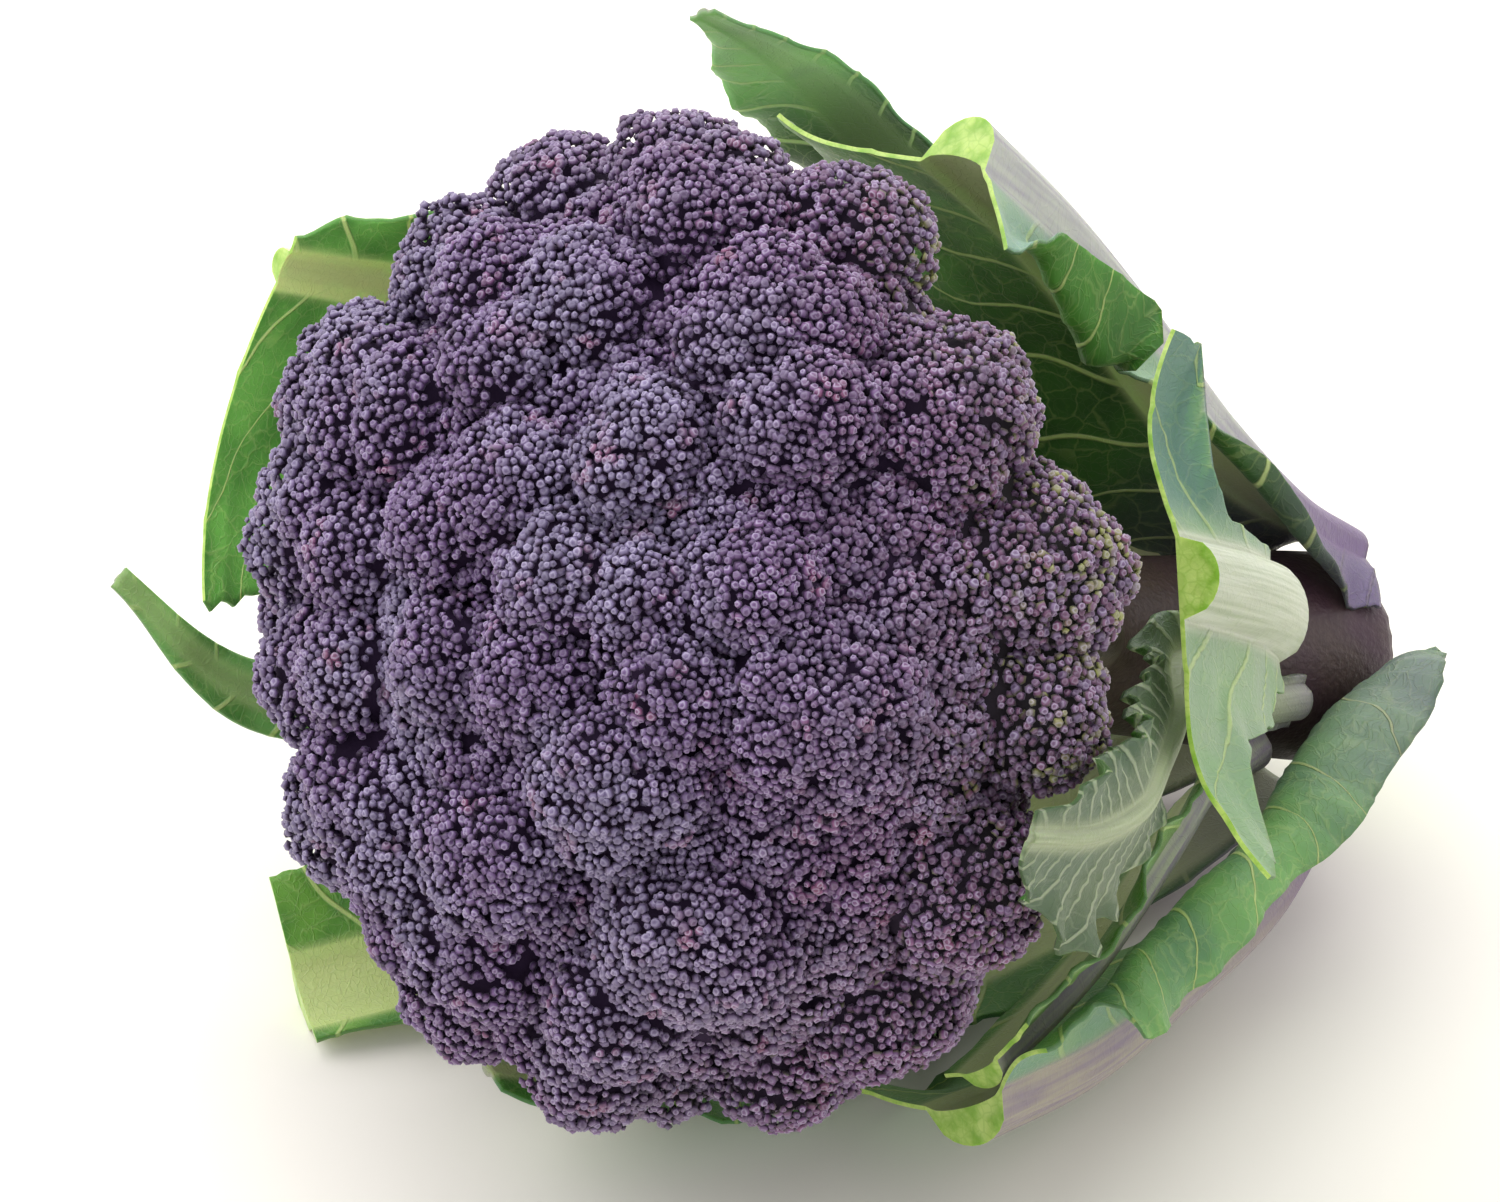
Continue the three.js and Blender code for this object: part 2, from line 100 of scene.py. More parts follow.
def golden_ways(count: int) -> np.ndarray:
    """Even spread of unit directions from the golden angle.

    Args:
        count: Number of directions over the whole ball.

    Returns:
        Directions, from the top of the ball to its bottom.
    """
    i = np.arange(count)
    z = 1.0 - (2.0 * (i + 0.5)) / count
    flat = np.sqrt(1.0 - z * z)
    turn = i * math.pi * (3.0 - math.sqrt(5.0))
    return np.stack([flat * np.cos(turn), flat * np.sin(turn), z], 1)


@dataclass(frozen=True)
class Pose:
    """How the plant lies: its axis is turned and raised, and its head's middle is placed.

    Angles are in degrees, places in millimetres, and head_at is the head's middle up the axis.
    """

    turn: float = 32.0
    lean: float = 27.0
    head_at: float = 165.0
    head_middle: Tuple[float, float, float] = (-16.071, -16.623, 99.0)

    def matrix(self) -> np.ndarray:
        """Rotation from the upright plant to the lying one.

        Returns:
            The three rows of the rotation.
        """
        turn, fall = math.radians(self.turn), math.radians(self.lean - 90.0)
        c, s = math.cos(turn), math.sin(turn)
        about_z = np.array([[c, -s, 0], [s, c, 0], [0, 0, 1]])
        c, s = math.cos(fall), math.sin(fall)
        about_y = np.array([[c, 0, s], [0, 1, 0], [-s, 0, c]])
        return about_z @ about_y

    def lay(self, upright: np.ndarray) -> np.ndarray:
        """Places points of the upright plant.

        Args:
            upright: Points in millimetres about the plant's own axis.

        Returns:
            The points in metres in the model's frame.
        """
        away = upright - np.array([0.0, 0.0, self.head_at])
        return (away @ self.matrix().T + np.array(self.head_middle)) * MM

    def turn_only(self, ways: np.ndarray) -> np.ndarray:
        """Directions of the upright plant in the model's frame."""
        return ways @ self.matrix().T


POSE = Pose()


def linear(hex_colour: int) -> Tuple[float, float, float, float]:
    """Linear colour of an sRGB hex value.

    Args:
        hex_colour: Colour as 0xRRGGBB.

    Returns:
        Red, green, blue and an alpha of one.
    """
    parts = [((hex_colour >> shift) & 255) / 255.0 for shift in (16, 8, 0)]
    r, g, b = [c / 12.92 if c <= 0.04045 else ((c + 0.055) / 1.055) ** 2.4 for c in parts]
    return (r, g, b, 1.0)


def add_node(
    tree: bpy.types.NodeTree, kind: str, inputs: Optional[Dict[Any, Any]] = None, **settings: Any
) -> bpy.types.Node:
    """Adds a node with its settings, values and links.

    Args:
        tree: Tree that gets the node.
        kind: Blender's name of the kind of node.
        inputs: Values, hex colours or linked sockets by input name or number.
        **settings: Settings of the node itself.

    Returns:
        The new node.
    """
    node = tree.nodes.new(kind)
    for name, value in settings.items():
        setattr(node, name, value)
    for key, value in (inputs or {}).items():
        socket = node.inputs[key]
        if isinstance(value, bpy.types.NodeSocket):
            tree.links.new(value, socket)
        elif socket.type == "RGBA" and isinstance(value, int):
            socket.default_value = linear(value)
        else:
            socket.default_value = value
    return node


def per_metre(size: float) -> float:
    """Scale of a pattern on object coordinates from its size in millimetres."""
    return 1.0 / (size * MM)


class Block(Enum):
    """The nodes that the finishes are made of.

    Each has Blender's name, its settings, the inputs that are given in order, and its output.
    """

    VALUE = ("ShaderNodeAttribute", {}, (), "Fac")
    VECTOR = ("ShaderNodeAttribute", {}, (), "Vector")
    PLACE = ("ShaderNodeTexCoord", {}, (), "Object")
    FIRST = ("ShaderNodeSeparateXYZ", {}, (0,), 0)
    NOISE = ("ShaderNodeTexNoise", {}, ("Vector", "Scale", "Detail"), "Fac")
    NOISE_COLOUR = ("ShaderNodeTexNoise", {}, ("Vector", "Scale", "Detail"), "Color")
    CELLS = ("ShaderNodeTexVoronoi", {"feature": "DISTANCE_TO_EDGE"}, ("Vector", "Scale"), "Distance")
    RAMP = ("ShaderNodeMapRange", {"interpolation_type": "SMOOTHSTEP"}, (0, 1, 2, 3, 4), 0)
    MIX = ("ShaderNodeMix", {"data_type": "RGBA"}, (0, 6, 7), 2)
    SHADE = ("ShaderNodeMix", {"data_type": "RGBA", "blend_type": "MULTIPLY"}, (0, 6, 7), 2)
    TIMES = ("ShaderNodeMath", {"operation": "MULTIPLY"}, (0, 1), 0)
    PLUS = ("ShaderNodeMath", {"operation": "ADD"}, (0, 1), 0)
    MINUS = ("ShaderNodeMath", {"operation": "SUBTRACT"}, (0, 1), 0)
    OVER = ("ShaderNodeMath", {"operation": "DIVIDE"}, (0, 1), 0)
    LARGER = ("ShaderNodeMath", {"operation": "MAXIMUM"}, (0, 1), 0)
    ABSOLUTE = ("ShaderNodeMath", {"operation": "ABSOLUTE"}, (0,), 0)
    FRACTION = ("ShaderNodeMath", {"operation": "FRACT"}, (0,), 0)
    STRETCH = ("ShaderNodeVectorMath", {"operation": "MULTIPLY"}, (0, 1), 0)
    STRETCH_PLUS = ("ShaderNodeVectorMath", {"operation": "MULTIPLY_ADD"}, (0, 1, 2), 0)


class Shader:
    """A material whose node tree the finishes fill block by block."""

    def __init__(self, name: str) -> None:
        """Starts an empty material.

        Args:
            name: Name of the material.
        """
        self.material = bpy.data.materials.new(name)
        self.material.use_nodes = True
        self.tree = self.material.node_tree
        self.tree.nodes.clear()

    def add(self, block: Block, *values: Any, **settings: Any) -> bpy.types.NodeSocket:
        """Adds a block.

        Args:
            block: The node that is added.
            *values: Values, hex colours or sockets for its inputs, in the block's order.
            **settings: Settings beside the block's own.

        Returns:
            The block's output.
        """
        kind, fixed, keys, output = block.value
        return add_node(self.tree, kind, dict(zip(keys, values)), **fixed, **settings).outputs[output]

    def carried(self, *names: str) -> List[bpy.types.NodeSocket]:
        """The values of those names that the mesh carries."""
        return [self.add(Block.VALUE, attribute_name=name) for name in names]

    def finish(
        self, bump: Optional[bpy.types.NodeSocket] = None, depth: float = 0.3, **inputs: Any
    ) -> bpy.types.Material:
        """Closes the material.

        Args:
            bump: Height pattern from 0 to 1, or none.
            depth: Height of the pattern in millimetres.
            **inputs: Inputs of the surface shader, with _ for spaces.

        Returns:
            The finished material.
        """
        named = {key.replace("_", " "): value for key, value in inputs.items()}
        if bump is not None:
            relief = {"Height": bump, "Distance": depth * MM, "Strength": 1.0}
            named["Normal"] = add_node(self.tree, "ShaderNodeBump", relief).outputs["Normal"]
        surface = add_node(self.tree, "ShaderNodeBsdfPrincipled", named)
        add_node(self.tree, "ShaderNodeOutputMaterial", {"Surface": surface.outputs[0]})
        return self.material


@dataclass(frozen=True)
class BudFinish:
    """Closed flower buds, violet under a natural wax, with the sizes of its patches in millimetres.

    The wax gives a soft satin light and a grey-lavender bloom. The rims of the sepals are palest: the
    bloom with a painted highlight. The foot and the dimple of each bud are painted dark as shade.
    """

    blue: int = 0x786B90
    purple: int = 0x6E5082
    magenta: int = 0x823A58
    # Painted shade: the dark of the foot and of the dimple of each bud.
    dark: int = 0x46344F
    green: int = 0xA4AC5C
    pink: int = 0x743E60
    # Wax bloom with a painted highlight, laid on the rims of the sepals.
    bloom_and_highlight: int = 0xCCC4DC
    sheen: int = 0xC8BEDC
    patch_size: float = 35.7
    blotch_size: float = 8.33

    def material(self) -> bpy.types.Material:
        """Builds the bud material.

        Returns:
            The material.
        """
        s = Shader("waxy_flower_bud_painted_light")
        tint, tip, green, patch, blush = s.carried("tint", "tip", "green", "patch", "blush")
        place = s.add(Block.PLACE)
        large = s.add(Block.NOISE, place, per_metre(self.patch_size), 2.0)
        blotch = s.add(Block.NOISE, place, per_metre(self.blotch_size), 2.0)
        # Wide patches are bluer or more purple, and some clusters have magenta blotches.
        base = s.add(Block.MIX, s.add(Block.RAMP, large, 0.40, 0.62), self.blue, self.purple)
        some = s.add(Block.RAMP, patch, 0.4, 1.0, 0.0, 0.7)
        red = s.add(Block.TIMES, some, s.add(Block.RAMP, blotch, 0.5, 0.7))
        base = s.add(Block.MIX, red, base, self.magenta)
        # Each bud is a little lighter or darker than the next, and pinker towards the rim.
        shade = s.add(Block.RAMP, tint, 0.0, 1.0, 0.68, 1.2)
        lit = s.add(Block.SHADE, 1.0, base, shade)
        rosy = s.add(Block.SHADE, 1.0, self.pink, shade)
        crown = s.add(Block.MIX, s.add(Block.TIMES, blush, 0.65), lit, rosy)
        # The foot of a bud is painted dark as shade between the buds, or yellow-green where the stems show.
        low = s.add(Block.MIX, green, self.dark, self.green)
        colour = s.add(Block.MIX, s.add(Block.RAMP, tip, 0.0, 0.4), low, crown)
        colour = s.add(Block.MIX, s.add(Block.RAMP, green, 0.4, 0.9, 0.0, 0.7), colour, self.green)
        # The rims of the sepals get the pale wax bloom with a painted highlight,
        # and the dimple at the tip is painted dark as shade.
        rising = s.add(Block.RAMP, tip, 0.45, 0.62, 0.0, 0.5)
        rim = s.add(Block.TIMES, rising, s.add(Block.RAMP, tip, 0.66, 0.82, 1.0, 0.0))
        rim = s.add(Block.TIMES, rim, s.add(Block.RAMP, tint, 0.25, 0.8, 0.25, 1.0))
        colour = s.add(Block.MIX, rim, colour, self.bloom_and_highlight)
        colour = s.add(Block.MIX, s.add(Block.RAMP, tip, 0.8, 1.0, 0.0, 0.4), colour, self.dark)
        return s.finish(
            Base_Color=colour, Roughness=0.4, Specular_IOR_Level=0.6,
            Sheen_Weight=0.25, Sheen_Roughness=0.4, Sheen_Tint=self.sheen,
        )


@dataclass(frozen=True)
class FloretFleshFinish:
    """Soft tissue under the buds, with the size of its spots in millimetres.

    It is matt. Where the buds cover it, it is painted dark violet as the shade under them, and
    yellow-green where the stems show.
    """

    # Painted shade under the buds.
    painted_shade_violet: int = 0x2E2038
    green: int = 0x5E6C34
    pale: int = 0x6C7450
    spot_size: float = 2.86

    def material(self) -> bpy.types.Material:
        """Builds the material of what lies under the buds.

        Returns:
            The material.
        """
        s = Shader("floret_flesh_with_painted_shade")
        green, under = s.carried("green", "under")
        spots = s.add(Block.NOISE, s.add(Block.PLACE), per_metre(self.spot_size), 3.0)
        # Painted shade: where the buds cover the tissue it is dark violet, greener where the stems show.
        covered = s.add(Block.MIX, green, self.painted_shade_violet, self.green)
        open_flesh = s.add(Block.MIX, s.add(Block.RAMP, spots, 0.35, 0.7), self.pale, self.green)
        colour = s.add(Block.MIX, under, covered, open_flesh)
        return s.finish(bump=spots, depth=0.4, Base_Color=colour, Roughness=0.8, Specular_IOR_Level=0.1)


@dataclass(frozen=True)
class LeafFinish:
    """Cabbage-family leaf under a thin natural wax, with all sizes in millimetres.

    The inner face is bright green and satin, the outer one blue-grey with wax, and the veins are
    pale and raised. Light passes a little way into the blade. Spacing is from side vein to side
    vein, thread a vein's width and net the cells between them. Waxy is where across the leaf the wax
    thickens and where it is full, which at first is beyond every margin.
    """

    name: str
    inside: int = 0x68A344
    outside: int = 0x86A688
    wax: int = 0x74988A
    # Painted shade: the dark green that the foot of the inner face is painted towards.
    deep: int = 0x1E4214
    vein: int = 0xBFD084
    stem: int = 0xB9BFA6
    stem_tint: int = 0x9A8FA0
    purple: int = 0x6E5480
    dark: int = 0x477F31
    spacing: float = 14.0
    thread: float = 0.9
    net: float = 5.0
    warp_size: float = 4.55
    warp: float = 5.0
    cloud_size: float = 14.3
    tint_size: float = 22.2
    grain_size: float = 0.714
    fibre: Tuple[float, float] = (0.625, 20.0)
    mottle: float = 0.6
    waxy: Tuple[float, float] = (900.0, 1000.0)
    # Painted shade: how far the foot of the inner face is darkened towards deep.
    shade: float = 0.0
    inner_rib: float = 1.0

    def material(self) -> bpy.types.Material:
        """Builds the skin of one leaf.

        Returns:
            The material.
        """
        s = Shader("waxy_leaf_" + self.name)
        sheet = s.add(Block.VECTOR, attribute_name="sheet")
        side = s.add(Block.FIRST, sheet)
        phase, rib, inner, base, reach, foot = s.carried("phase", "rib", "inner", "base", "reach", "foot")
        cloud = s.add(Block.NOISE, sheet, 1.0 / self.cloud_size, 3.0)
        fine = s.add(Block.NOISE, sheet, 1.0 / self.grain_size, 2.0)
        veins, small = self.veins(s, sheet, phase, rib, reach)
        # The inner face is green in two tones, and painted darker towards its foot as shade on a leaf in
        # shadow.
        green = s.add(Block.MIX, s.add(Block.RAMP, cloud, 0.35, 0.68), self.inside, self.dark)
        green = s.add(Block.MIX, s.add(Block.TIMES, small, 0.10), green, self.vein)
        green = s.add(Block.MIX, s.add(Block.TIMES, foot, self.shade), green, self.deep)
        # The outer face has wax in clouds, and more of it towards one margin.
        wax = s.add(Block.MIX, s.add(Block.RAMP, cloud, 0.3, 0.7, 0.0, 0.35), self.outside, self.inside)
        tinted = s.add(Block.NOISE, sheet, 1.0 / self.tint_size, 1.0)
        tinted = s.add(Block.RAMP, tinted, 0.42, 0.62, 0.0, self.mottle)
        margin = s.add(Block.RAMP, side, *self.waxy, 0.0, 0.85)
        wax = s.add(Block.MIX, s.add(Block.LARGER, tinted, margin), wax, self.wax)
        skin = s.add(Block.MIX, inner, wax, green)
        shown = s.add(Block.TIMES, veins, s.add(Block.RAMP, inner, 0.0, 1.0, 0.5, 0.85))
        skin = s.add(Block.MIX, shown, skin, self.vein)
        # The leaf stalk has lengthwise fibres and a violet foot.
        width, length = self.fibre
        drawn_out = s.add(Block.STRETCH, sheet, (1.0 / width, 1.0 / length, 1.0))
        streak = s.add(Block.RAMP, s.add(Block.NOISE, drawn_out, 1.0, 4.0), 0.3, 0.72)
        stem = s.add(Block.MIX, streak, self.stem, self.stem_tint)
        stem = s.add(Block.MIX, s.add(Block.TIMES, inner, 0.8), stem, self.vein)
        ribbed = s.add(Block.RAMP, inner, 0.0, 1.0, 1.0, self.inner_rib)
        skin = s.add(Block.MIX, s.add(Block.TIMES, s.add(Block.RAMP, rib, 0.1, 0.75), ribbed), skin, stem)
        flush = s.add(Block.TIMES, base, s.add(Block.RAMP, inner, 0.0, 1.0, 0.85, 0.5))
        skin = s.add(Block.MIX, flush, skin, self.purple)
        height = s.add(Block.PLUS, s.add(Block.TIMES, veins, 0.8), s.add(Block.TIMES, fine, 0.25))
        height = s.add(Block.PLUS, height, s.add(Block.TIMES, small, 0.15))
        return s.finish(
            bump=height, depth=0.35, Base_Color=skin, Specular_IOR_Level=0.45,
            Roughness=s.add(Block.RAMP, fine, 0.2, 0.8, 0.38, 0.52),
            Subsurface_Weight=0.35, Subsurface_Radius=(0.6, 1.0, 0.25), Subsurface_Scale=1.6 * MM,
        )

    def veins(
        self, s: Shader, sheet: bpy.types.NodeSocket, phase: bpy.types.NodeSocket,
        rib: bpy.types.NodeSocket, reach: bpy.types.NodeSocket,
    ) -> Tuple[bpy.types.NodeSocket, bpy.types.NodeSocket]:
        """Draws the veins of the blade.

        Args:
            s: The material's shader.
            sheet: Place on the flat leaf in millimetres.
            phase: Number of side veins passed up to here.
            rib: Share of rib.
            reach: Share of the way to the margin.

        Returns:
            The side veins with the net between them, and the finest net.
        """
        # Side veins are lines half way between whole numbers of the phase, finer towards the margin.
        off = s.add(Block.ABSOLUTE, s.add(Block.MINUS, s.add(Block.FRACTION, phase), 0.5))
        off = s.add(Block.TIMES, off, self.spacing)
        wide = s.add(Block.RAMP, reach, 0.0, 1.0, self.thread, self.thread * 0.3)
        lateral = s.add(Block.RAMP, s.add(Block.OVER, off, wide), 0.35, 1.0, 1.0, 0.0)
        cloudy = s.add(Block.NOISE_COLOUR, sheet, 1.0 / self.warp_size, 2.0)
        moved = s.add(Block.STRETCH_PLUS, cloudy, (self.warp, self.warp, 0.0), sheet)
        net, small = (
            s.add(Block.RAMP, s.add(Block.CELLS, moved, cells / self.net), 0.0, width, 1.0, 0.0)
            for cells, width in ((1.0, 0.055), (3.0, 0.07))
        )
        blade = s.add(Block.MINUS, 1.0, rib)
        veins = s.add(Block.LARGER, lateral, s.add(Block.TIMES, net, 0.2))
        return s.add(Block.TIMES, veins, blade), small


@dataclass(frozen=True)
class CutFleshFinish:
    """Freshly cut stem with small fibre bundles, and its sizes in millimetres.

    The juice gives it a wet shine, and light goes into the yellow-green flesh.
    """

    flesh: int = 0xBAD472
    fibre: int = 0x7FB030
    bundle_size: float = 1.92
    cloud_size: float = 4.17

    def material(self) -> bpy.types.Material:
        """Builds the material of the cut faces.

        Returns:
            The material.
        """
        s = Shader("cut_stem_flesh")
        place = s.add(Block.PLACE)
        bundles = s.add(Block.CELLS, place, per_metre(self.bundle_size))
        cloud = s.add(Block.NOISE, place, per_metre(self.cloud_size), 4.0)
        colour = s.add(Block.MIX, s.add(Block.RAMP, cloud, 0.35, 0.7), self.flesh, self.fibre)
        colour = s.add(Block.MIX, s.add(Block.RAMP, bundles, 0.0, 0.12, 0.35, 0.0), colour, self.fibre)
        return s.finish(
            bump=cloud, depth=0.6, Base_Color=colour, Roughness=0.3, Specular_IOR_Level=0.5,
            Subsurface_Weight=0.3, Subsurface_Radius=(1.0, 1.0, 0.4), Subsurface_Scale=2.0 * MM,
        )


@dataclass(frozen=True)
class StalkFinish:
    """Fibrous skin of the stalk in deep shade, with its sizes in millimetres.

    It is smooth and a little dull. Its colour is painted shade: a dark brown-grey with a violet flush
    towards the butt.
    """

    # Painted shade: all three colours are darkened for the shadow among the leaves; the flush is a real
    # violet.
    skin: int = 0x4E4038
    flush: int = 0x3E2238
    fibre: int = 0x40342E
    cloud_size: float = 22.2
    fibre_size: float = 1.11

    def material(self) -> bpy.types.Material:
        """Builds the stalk's skin.

        Returns:
            The material.
        """
        s = Shader("fibrous_stalk_skin_painted_shade")
        (low,) = s.carried("low")
        place = s.add(Block.PLACE)
        cloud = s.add(Block.NOISE, place, per_metre(self.cloud_size), 3.0)
        fine = s.add(Block.NOISE, place, per_metre(self.fibre_size), 3.0)
        colour = s.add(Block.MIX, s.add(Block.RAMP, fine, 0.3, 0.75), self.skin, self.fibre)
        flush = s.add(Block.TIMES, low, s.add(Block.RAMP, cloud, 0.3, 0.6, 0.25, 0.9))
        colour = s.add(Block.MIX, flush, colour, self.flush)
        return s.finish(bump=fine, depth=0.3, Base_Color=colour, Roughness=0.45)


def mesh_object(name: str, points: np.ndarray, faces: Sequence[Sequence[int]]) -> bpy.types.Object:
    """Makes a mesh object at the origin.

    Args:
        name: Name of the piece.
        points: Vertices in metres.
        faces: Corner numbers of each face.

    Returns:
        The object, linked to the scene.
    """
    mesh = bpy.data.meshes.new(name)
    mesh.from_pydata([tuple(p) for p in points.tolist()], [], [tuple(f) for f in faces])
    mesh.update()
    piece = bpy.data.objects.new(name, mesh)
    bpy.context.scene.collection.objects.link(piece)
    return piece


def carry(mesh: bpy.types.Mesh, **values: np.ndarray) -> None:
    """Stores a value or a vector for each vertex.

    Args:
        mesh: Mesh that carries the values.
        **values: One array for each attribute name.
    """
    for name, array in values.items():
        flat = np.asarray(array, np.float32)
        kind, key = ("FLOAT_VECTOR", "vector") if flat.ndim == 2 else ("FLOAT", "value")
        mesh.attributes.new(name, kind, "POINT").data.foreach_set(key, flat.ravel())


def shade_smooth(mesh: bpy.types.Mesh) -> None:
    """Rounds the shading of every face."""
    mesh.polygons.foreach_set("use_smooth", [True] * len(mesh.polygons))


def evaluated_mesh(piece: bpy.types.Object) -> bpy.types.Mesh:
    """Plain mesh of a piece with its modifiers applied."""
    return bpy.data.meshes.new_from_object(piece.evaluated_get(bpy.context.evaluated_depsgraph_get()))


def point_tree(points: np.ndarray) -> KDTree:
    """Tree that finds the points near a place.

    Args:
        points: The points, which the tree knows by their numbers.

    Returns:
        The balanced tree.
    """
    tree = KDTree(len(points))
    for i, point in enumerate(points.tolist()):
        tree.insert(point, i)
    tree.balance()
    return tree


def settle(piece: bpy.types.Object, slot: str, *nodes: str) -> None:
    """Ties a finished piece to the plant and hides the solids that it stands for.

    Args:
        piece: The finished piece.
        slot: Not used.
        *nodes: Solids that it replaces.
    """
    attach(piece, "root")
    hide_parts(*nodes)
    triangles = sum(len(p.vertices) - 2 for p in piece.data.polygons)
    LOG.info("%s: %d triangles", piece.name, triangles)


@dataclass
class HeadForm:
    """The head's skin: a flattened ball that the larger florets stand out of.

    Each floret is its azimuth and its angle above the head's middle in degrees, its radius, and how
    far it stands proud. Core and low_core are the shares of the ball that lie between the florets.
    """

    wide: float = 87.0
    pole: float = 63.0
    underside: float = 34.0
    core: float = 0.94
    low_core: float = 0.9
    slope_step: float = 0.02
    florets: Rows = (
        (11, 14, 21, 0), (-13, 18, 22, 0), (14, 34, 16, 0), (26, 47, 16, 0), (62, 50, 15, 2),
        (-31, 2, 20, 0), (-50, -8, 24, 0), (-30, 22, 14, 0), (-26, 43, 15, 0), (-2, 62, 15, 0),
        (-48, 60, 13, 0), (34, 76, 14, 0), (102, 62, 13, 0), (146, 61, 12, 0), (-134, 79, 14, 0),
        (-82, 62, 14, 0), (-56, 45, 14, 0), (-55, 31, 13, 0), (-71, 19, 22, 0), (-74, 40, 13, 0),
        (-97, 42, 19, 0), (-137, 45, 19, 0), (-176, 52, 14, 0), (-170, 34, 18, 0),
        (-112, 20, 23, 0), (-92, -6, 21, 0), (-67, -8, 16, 0), (-134, 20, 17, 0), (-153, 8, 21, 0),
        (-176, 12, 20, 0), (160, 30, 19, 0), (138, 42, 17, 0), (150, 6, 22, 0), (126, 22, 19, 0),
        (106, 40, 16, 3), (124, -4, 20, 0), (100, 12, 21, 3), (84, 30, 18, 4), (76, 2, 20, 0),
        (58, 22, 19, 0), (50, 8, 18, 0), (74, 44, 18, 4), (96, 47, 17, 3.5), (-172, 42, 18, 0),
        (172, 47, 17, 0), (-157, 31, 18, 0), (40, 34, 15, 0), (28, 9, 15, 0), (-2, 4, 16, 0),
        (-114, -8, 19, 0), (-134, -8, 18, 0), (175, -6, 18, 0), (-158, -8, 16, 0),
    )

    def __post_init__(self) -> None:
        """Works out the ball of each floret."""
        middles, radii = [], []
        for azimuth, tilt, radius, proud in self.florets:
            t = math.radians(tilt)
            way = cylinder_point(azimuth, math.cos(t), math.sin(t))
            reach = float(self.ellipsoid(way[None, :], self.wide, self.pole)[0]) + proud
            middles.append(way * (reach - radius))
            radii.append(radius)
        self.middles, self.radii = np.array(middles), np.array(radii)

    @staticmethod
    def ellipsoid(way: np.ndarray, wide: Size, tall: Size) -> np.ndarray:
        """Reach of a flattened ball along unit directions."""
        flat = (way[:, 0] ** 2 + way[:, 1] ** 2) / (wide * wide)
        return 1.0 / np.sqrt(flat + way[:, 2] ** 2 / (tall * tall))

    def reach(self, way: np.ndarray) -> np.ndarray:
        """Distance from the head's middle to its skin.

        Args:
            way: Unit directions from the head's middle.

        Returns:
            Distances in millimetres.
        """
        up = way[:, 2] > 0
        wide = np.where(up, self.wide * self.core, self.wide * self.low_core)
        tall = np.where(up, self.pole * self.core, self.underside)
        reach = self.ellipsoid(way, wide, tall)
        for middle, radius in zip(self.middles, self.radii):
            reach = np.maximum(reach, self.far_side(way, middle, radius))
        return reach

    @staticmethod
    def far_side(way: np.ndarray, middle: np.ndarray, radius: float) -> np.ndarray:
        """Distance to the far side of a ball.

        Args:
            way: Unit directions from the head's middle.
            middle: Middle of the ball.
            radius: Its radius.

        Returns:
            Distances, which are 0 where a direction misses the ball.
        """
        ahead = way @ middle
        inside = ahead * ahead - middle @ middle + radius ** 2
        return np.where(inside > 0, ahead + np.sqrt(np.maximum(inside, 0)), 0)

    def skin(self, way: np.ndarray) -> Tuple[np.ndarray, np.ndarray]:
        """Points of the skin and the directions in which it faces.

        Args:
            way: Unit directions from the head's middle.

        Returns:
            Points about the head's middle in millimetres, and unit normals.
        """
        askew = np.array([0.31, 0.17, 0.93])
        side = unit(np.cross(way, askew))
        slopes = []
        for sideways in (side, np.cross(way, side)):
            ahead = unit(way + self.slope_step * sideways)
            back = unit(way - self.slope_step * sideways)
            slopes.append(ahead * self.reach(ahead)[:, None] - back * self.reach(back)[:, None])
        normal = unit(np.cross(slopes[0], slopes[1]))
        normal *= np.sign(np.sum(normal * way, 1))[:, None]
        return way * self.reach(way)[:, None], normal


